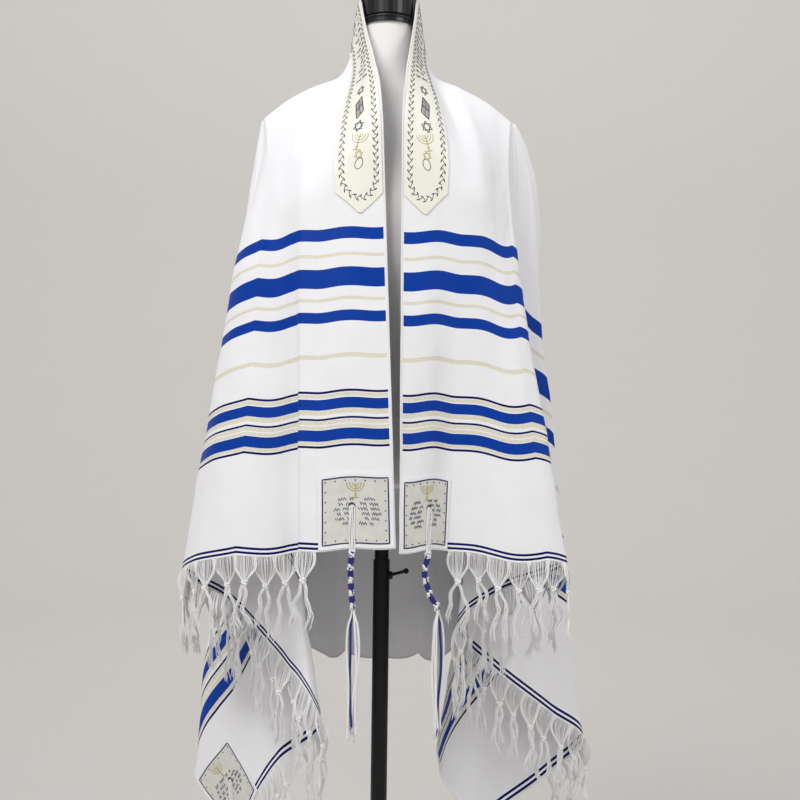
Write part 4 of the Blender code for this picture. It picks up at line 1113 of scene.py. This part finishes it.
def add_fibre(shape, own, end, colour):
    """A loose fibre at a strand's cut end."""
    spread = Vector((own.uniform(-1, 1), own.uniform(-1, 1), 0.0)) * STRAND_RADIUS * 1.6
    tip = end + spread + Vector((0, 0, -FIBRE_LENGTH * own.uniform(0.6, 1.2)))
    shape.tube([end, (end + tip) / 2 + spread * 0.3, tip], FIBRE_RADIUS, 3, colour)


# ---------------------------------------------------------------- the form
def level_rings(rows, radius):
    """Points and UVs of level rings; rows hold z, half width, front and back."""
    places, uvs = [], []
    for z, half_width, front, back in rows:
        for k in range(ROUND_SIDES + 1):
            angle = 2 * math.pi * k / ROUND_SIDES
            deep = math.sin(angle)
            places.append((half_width * math.cos(angle), deep * (back if deep > 0 else front), z))
            uvs.append((angle * radius, z))
    return places, uvs


def make_form(finish):
    """The torso as a smooth surface through its sections."""
    levels = np.linspace(FORM[0][0], FORM[-1][0], FORM_LEVELS)
    places, uvs = level_rings([(z, *read_table(FORM, z)) for z in levels], JERSEY_RADIUS)
    shape = Shape()
    shape.add(places, ring_faces(FORM_LEVELS, ROUND_SIDES), uvs)
    shape.build("form_cover", "form_jersey", [finish], ["form_torso"], 40.0)


def make_cap_rim(finish):
    """The moulded rim under the neck cap."""
    places, uvs = level_rings([(z, radius, radius, radius) for radius, z in CAP_RIM], CAP_RIM[0][0])
    shape = Shape()
    shape.add(places, ring_faces(len(CAP_RIM), ROUND_SIDES, capped=False), uvs)
    shape.build("neck_cap_rim", "black_plastic", [finish], crease=35.0)


# ---------------------------------------------------------------- materials
def linear(colour):
    """A hex sRGB colour as linear RGBA."""
    parts = [int(colour[k:k + 2], 16) / 255.0 for k in (1, 3, 5)]
    return [c / 12.92 if c <= 0.04045 else ((c + 0.055) / 1.055) ** 2.4 for c in parts] + [1.0]


def feed(tree, node, inputs):
    """A node's inputs: each a value, or a link from a socket or from a node's first output."""
    for key, value in inputs.items():
        if isinstance(value, bpy.types.Node):
            value = value.outputs[0]
        if isinstance(value, bpy.types.NodeSocket):
            tree.links.new(value, node.inputs[key])
        else:
            node.inputs[key].default_value = value


def add(tree, kind, inputs, **settings):
    """A node of this kind with its settings, and its inputs by name or number or in order."""
    node = tree.nodes.new(f"ShaderNode{kind}")
    for key, value in settings.items():
        setattr(node, key, value)
    feed(tree, node, inputs if isinstance(inputs, dict) else dict(enumerate(inputs)))
    return node


def new_material(name, **values):
    """A material of one Principled shader with these values; gives (material, tree, shader)."""
    material = bpy.data.materials.new(name)
    material.use_nodes = True
    shader = material.node_tree.nodes["Principled BSDF"]
    for key, value in values.items():
        value = linear(value) if isinstance(value, str) else value
        shader.inputs[key.replace("_", " ")].default_value = value
    return material, material.node_tree, shader


def laid_out(tree):
    """A piece's own coordinates in metres: both together, the one along and the one across."""
    both = add(tree, "UVMap", {}, uv_map="UVMap")
    split = add(tree, "SeparateXYZ", {"Vector": both})
    return both, split.outputs["X"], split.outputs["Y"]


def weave(tree, u, v, pitches, depth, strength):
    """Relief of a plain weave: over and under waves of the two sets of yarns."""
    waves = []
    for place, pitch in zip((u, v), pitches):
        turn = add(tree, "Math", (place, math.pi / pitch), operation="MULTIPLY")
        waves.append(add(tree, "Math", (turn,), operation="SINE"))
    crossed = add(tree, "Math", waves, operation="MULTIPLY")
    return add(tree, "Bump", {"Height": crossed, "Distance": depth, "Strength": strength})


def stripe_ramp(tree, distance, low, high):
    """A colour ramp with the stripes between two distances; alpha carries the roughness."""
    past = add(tree, "Math", (distance, low), operation="SUBTRACT")
    share = add(tree, "Math", (past, high - low), operation="DIVIDE")
    node = add(tree, "ValToRGB", {"Fac": share})
    ramp = node.color_ramp
    ramp.interpolation = "CONSTANT"
    plain = linear(WHITE)[:3] + [PLAIN_ROUGH]
    stops = [(0.0, plain)]
    for start, end, (colour, rough) in STRIPES:
        if not low <= start < high:
            continue
        if len(stops) > 1 and start - low - stops[-1][0] < 1e-5:
            stops.pop()
        stops += [(start - low, linear(colour)[:3] + [rough]), (end - low, plain)]
    while len(ramp.elements) < len(stops):
        ramp.elements.new(1.0)
    for element, (at, value) in zip(ramp.elements, stops):
        element.position = at / (high - low)
        element.color = value
    return node


def wool_finish():
    """Woven wool with dyed and lurex stripes: a matt white that the eye reads as cloth by its
    fine ribs, with smooth blue yarns and gilt ones that glint here and there."""
    material, tree, shader = new_material(
        "woven_wool", Sheen_Weight=0.02, Sheen_Roughness=0.5, Specular_IOR_Level=0.12)
    both, distance, down = laid_out(tree)
    colour, rough = linear(WHITE), PLAIN_ROUGH
    for low, high in STRIPE_FIELDS:
        ramp = stripe_ramp(tree, distance, low, high)
        past = add(tree, "Math", (distance, low), operation="GREATER_THAN")
        colour = add(tree, "Mix", {0: past, 6: colour, 7: ramp}, data_type="RGBA").outputs[2]
        rough = add(tree, "Mix", {0: past, 2: rough, 3: ramp.outputs["Alpha"]})
    half = CLOTH_DROP / 2
    inside = add(tree, "Math", (down, half, half - SELVEDGE), operation="COMPARE")
    fibre = add(tree, "TexNoise", {"Vector": both, "Scale": 1 / FIBRE_SPOT, "Detail": 1.0})
    spots = add(tree, "Math", (fibre, 0.60), operation="GREATER_THAN")
    gilt = add(tree, "Math", (rough, LUREX[1] + 0.02), operation="LESS_THAN")
    flecks = add(tree, "Math", (gilt, spots), operation="MULTIPLY")
    dyed = add(tree, "Math", (inside, flecks), operation="GREATER_THAN")
    final = add(tree, "Mix", {0: dyed, 6: linear(WHITE), 7: colour}, data_type="RGBA")
    relief = weave(tree, distance, down, WOOL_PITCH, 0.00012, 0.6)
    feed(tree, shader, {"Base Color": final.outputs[2], "Roughness": rough, "Normal": relief})
    return material


def satin_finish():
    """Ivory viscose satin: smoother than the cloth, so that it takes a broad soft shine."""
    material, tree, shader = new_material(
        "ivory_satin", Base_Color=IVORY, Roughness=0.42, Sheen_Weight=0.08)
    _both, along, across = laid_out(tree)
    feed(tree, shader, {"Normal": weave(tree, along, across, SATIN_PITCH, 0.00006, 0.5)})
    return material


def patch_finish():
    """Viscose satin with a plain cotton margin: the satin square shines softly and shows greyer
    than the matt white border it is sewn on; its lighter mottled places are painted highlights."""
    material, tree, shader = new_material("bordered_satin", Sheen_Weight=0.08)
    both, along, across = laid_out(tree)
    half = PATCH_SIDE / 2
    inside = [
        add(tree, "Math", (place, half, half - FRAME_INSET), operation="COMPARE")
        for place in (along, across)
    ]
    satin = add(tree, "Math", inside, operation="MULTIPLY")
    # painted highlight: noise lightens the satin in patches where its sheen would shine
    painted_sheen = add(tree, "TexNoise", {"Vector": both, "Scale": 1 / PAINTED_SHEEN_SPOT})
    sheen_colours = {0: painted_sheen, 6: linear("#CFCFC8"), 7: linear("#E6E6DE")}
    sheen_painted_satin = add(tree, "Mix", sheen_colours, data_type="RGBA").outputs[2]
    colour = add(tree, "Mix", {0: satin, 6: linear(WHITE), 7: sheen_painted_satin}, data_type="RGBA")
    rough = add(tree, "Mix", {0: satin, 2: 0.75, 3: 0.38})
    relief = weave(tree, along, across, SATIN_PITCH, 0.00006, 0.5)
    feed(tree, shader, {"Base Color": colour.outputs[2], "Roughness": rough, "Normal": relief})
    return material


def yarn_finish(name, colour, rough):
    """Twisted wool yarn: slanting ridges of its two plies catch the light along the cord."""
    material, tree, shader = new_material(
        name, Base_Color=colour, Roughness=rough, Sheen_Weight=0.10)
    _both, along, across = laid_out(tree)
    lay = add(tree, "Math", (along, 1 / YARN_TWIST, across), operation="MULTIPLY_ADD")
    turn = add(tree, "Math", (lay, 2 * math.pi * 2), operation="MULTIPLY")
    ridge = add(tree, "Math", (turn,), operation="SINE")
    relief = add(tree, "Bump", {"Height": ridge, "Distance": 0.00025, "Strength": 0.8})
    feed(tree, shader, {"Normal": relief})
    return material


def jersey_finish():
    """Knitted cotton jersey drawn tight over the form: an even off-white with fine wales."""
    material, tree, shader = new_material(
        "cotton_jersey", Base_Color="#F3F2F0", Roughness=0.85, Sheen_Weight=0.08)
    _both, along, across = laid_out(tree)
    feed(tree, shader, {"Normal": weave(tree, along, across, JERSEY_PITCH, 0.0001, 0.4)})
    return material


def moulded_finish(name, colour, rough):
    """Injection-moulded ABS: nearly smooth, with a fine spark-eroded grain from its mould that
    softens the highlight, and slightly duller patches where hands have rubbed it."""
    material, tree, shader = new_material(name, Base_Color=colour)
    place = add(tree, "TexCoord", {}).outputs["Object"]
    grain = add(tree, "TexNoise", {"Vector": place, "Detail": 3.0, "Scale": 1 / MOULD_GRAIN})
    rubbed = add(tree, "TexNoise", {"Vector": place, "Scale": 1 / RUBBED_SPOT})
    duller = add(tree, "Math", (rubbed, 0.16, rough - 0.08), operation="MULTIPLY_ADD")
    relief = add(tree, "Bump", {"Height": grain, "Distance": 0.00004, "Strength": 0.6})
    feed(tree, shader, {"Roughness": duller, "Normal": relief})
    return material


def thread_finish(name, colour):
    """Rayon embroidery thread in satin stitch: each stitch is a small smooth ridge across the
    line, so the line glints in fine steps; the valleys between stitches carry painted shade."""
    material, tree, shader = new_material(name, Roughness=0.38, Sheen_Weight=0.05)
    _both, along, _across = laid_out(tree)
    turn = add(tree, "Math", (along, 2 * math.pi / THREAD_PITCH), operation="MULTIPLY")
    ridge = add(tree, "Math", (turn,), operation="SINE")
    # painted shade: the colour darkens to 0.62 of itself in the valleys between stitch ridges
    shade = add(tree, "Math", (ridge, 0.5, 0.5), operation="MULTIPLY_ADD")
    painted_valley_shade = [channel * 0.62 for channel in linear(colour)[:3]] + [1.0]
    mixed = add(tree, "Mix", {0: shade, 6: painted_valley_shade, 7: linear(colour)}, data_type="RGBA")
    relief = add(tree, "Bump", {"Height": ridge, "Distance": 0.00012, "Strength": 0.7})
    feed(tree, shader, {"Base Color": mixed.outputs[2], "Normal": relief})
    return material


def coated_finish():
    """Powder-coated steel: black, with the faint orange-peel of the baked coat."""
    material, tree, shader = new_material(
        "powder_coated_steel", Base_Color="#0A0A0B", Roughness=0.38, Specular_IOR_Level=0.30)
    place = add(tree, "TexCoord", {}).outputs["Object"]
    grain = add(tree, "TexNoise", {"Vector": place, "Scale": 1 / PEEL_GRAIN, "Detail": 2.0})
    relief = add(tree, "Bump", {"Height": grain, "Distance": 0.00006, "Strength": 0.5})
    feed(tree, shader, {"Normal": relief})
    return material


# ---------------------------------------------------------------- stage, light and camera
def make_stage():
    """A level pale floor that turns up all round into a plain wall."""
    profile = [(radius, 0.0) for radius in (1.5, 3.0, FLOOR_RADIUS)]
    for k in range(1, 25):
        angle = math.pi / 2 * k / 24
        profile.append((FLOOR_RADIUS + WALL_BEND * math.sin(angle), WALL_BEND * (1 - math.cos(angle))))
    profile.append((FLOOR_RADIUS + WALL_BEND, STAGE_HEIGHT))
    places = [(0.0, 0.0, 0.0)]
    for radius, z in profile:
        for k in range(ROUND_SIDES):
            angle = 2 * math.pi * k / ROUND_SIDES
            places.append((radius * math.cos(angle), radius * math.sin(angle), z))
    faces = [(0, 1 + k, 1 + (k + 1) % ROUND_SIDES) for k in range(ROUND_SIDES)]
    for low in range(1, len(places) - ROUND_SIDES, ROUND_SIDES):
        high = low + ROUND_SIDES
        for k in range(ROUND_SIDES):
            m = (k + 1) % ROUND_SIDES
            faces.append((low + k, high + k, high + m, low + m))
    mesh = bpy.data.meshes.new("backdrop")
    mesh.from_pydata(places, [], faces)
    mesh.materials.append(new_material("pale_paper", Base_Color=STAGE_COLOUR, Roughness=0.95)[0])
    mesh.shade_smooth()
    backdrop = bpy.data.objects.new("backdrop", mesh)
    bpy.context.scene.collection.objects.link(backdrop)


def make_lights():
    world = bpy.data.worlds.new("room")
    world.use_nodes = True
    background = world.node_tree.nodes["Background"]
    background.inputs["Color"].default_value = linear(ROOM_COLOUR)
    background.inputs["Strength"].default_value = ROOM_STRENGTH
    bpy.context.scene.world = world
    bpy.context.scene.view_settings.view_transform = "Standard"
    for name, place, target, size, power in LIGHTS:
        lamp = bpy.data.lights.new(name, "AREA")
        lamp.shape = "RECTANGLE"
        lamp.size, lamp.size_y = size
        lamp.energy = power
        made = bpy.data.objects.new(name, lamp)
        made.location = place
        made.rotation_euler = (Vector(target) - Vector(place)).to_track_quat("-Z", "Y").to_euler()
        made.visible_camera = False
        bpy.context.scene.collection.objects.link(made)


def make_camera():
    lens = bpy.data.cameras.new("view")
    lens.sensor_width = 36.0
    lens.lens = VIEW_LENS
    view = bpy.data.objects.new("view", lens)
    level = Matrix.Rotation(math.radians(90.0), 4, "X")
    roll = Matrix.Rotation(math.radians(VIEW_ROLL), 4, "Z")
    view.matrix_world = Matrix.Translation(VIEW_PLACE) @ level @ roll
    bpy.context.scene.collection.objects.link(view)
    bpy.context.scene.camera = view


def main():
    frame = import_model()
    wool, satin, bordered = wool_finish(), satin_finish(), patch_finish()
    white_yarn = yarn_finish("white_wool_yarn", "#F7F7F7", 0.80)
    blue_yarn = yarn_finish("blue_wool_yarn", "#1A2480", 0.75)
    jersey, coated = jersey_finish(), coated_finish()
    plastic = moulded_finish("black_abs", "#08080A", 0.34)
    pale_plastic = moulded_finish("white_abs", "#DDDDDB", 0.40)
    threads = [
        thread_finish("navy_rayon", "#1C1C66"),
        thread_finish("grey_rayon", "#34364A"),
        thread_finish("gilt_rayon", "#D0C580"),
    ]

    cloth = Cloth()
    shawl = make_shawl(cloth, wool)
    make_edges(cloth, white_yarn)
    band = make_neckband(cloth, satin)
    embroider_band(cloth, threads)
    for side in cloth.sides:
        for edge in ("front", "back"):
            patch = make_patch(cloth, side, edge, bordered)
            embroider_patch(cloth, side, edge, threads)
            make_tassel(cloth, side, edge, [white_yarn, blue_yarn])
        make_fringe(cloth, side, white_yarn)
    make_form(jersey)
    make_cap_rim(plastic)

    hard_finishes = {
        "neck_cap": plastic, "form_socket": pale_plastic, "inner_tube": coated,
        "outer_tube": coated, "base_plate": coated, "clamp_boss": coated, "clamp_screw": coated,
    }
    for name, finish in hard_finishes.items():
        hard = frame["nodes"][name]
        hard.data.shade_smooth()
        hard.data.set_sharp_from_angle(angle=math.radians(HARD_CREASE))
        for slot in hard.material_slots:
            slot.material = finish

    make_stage()
    make_lights()
    make_camera()


main()
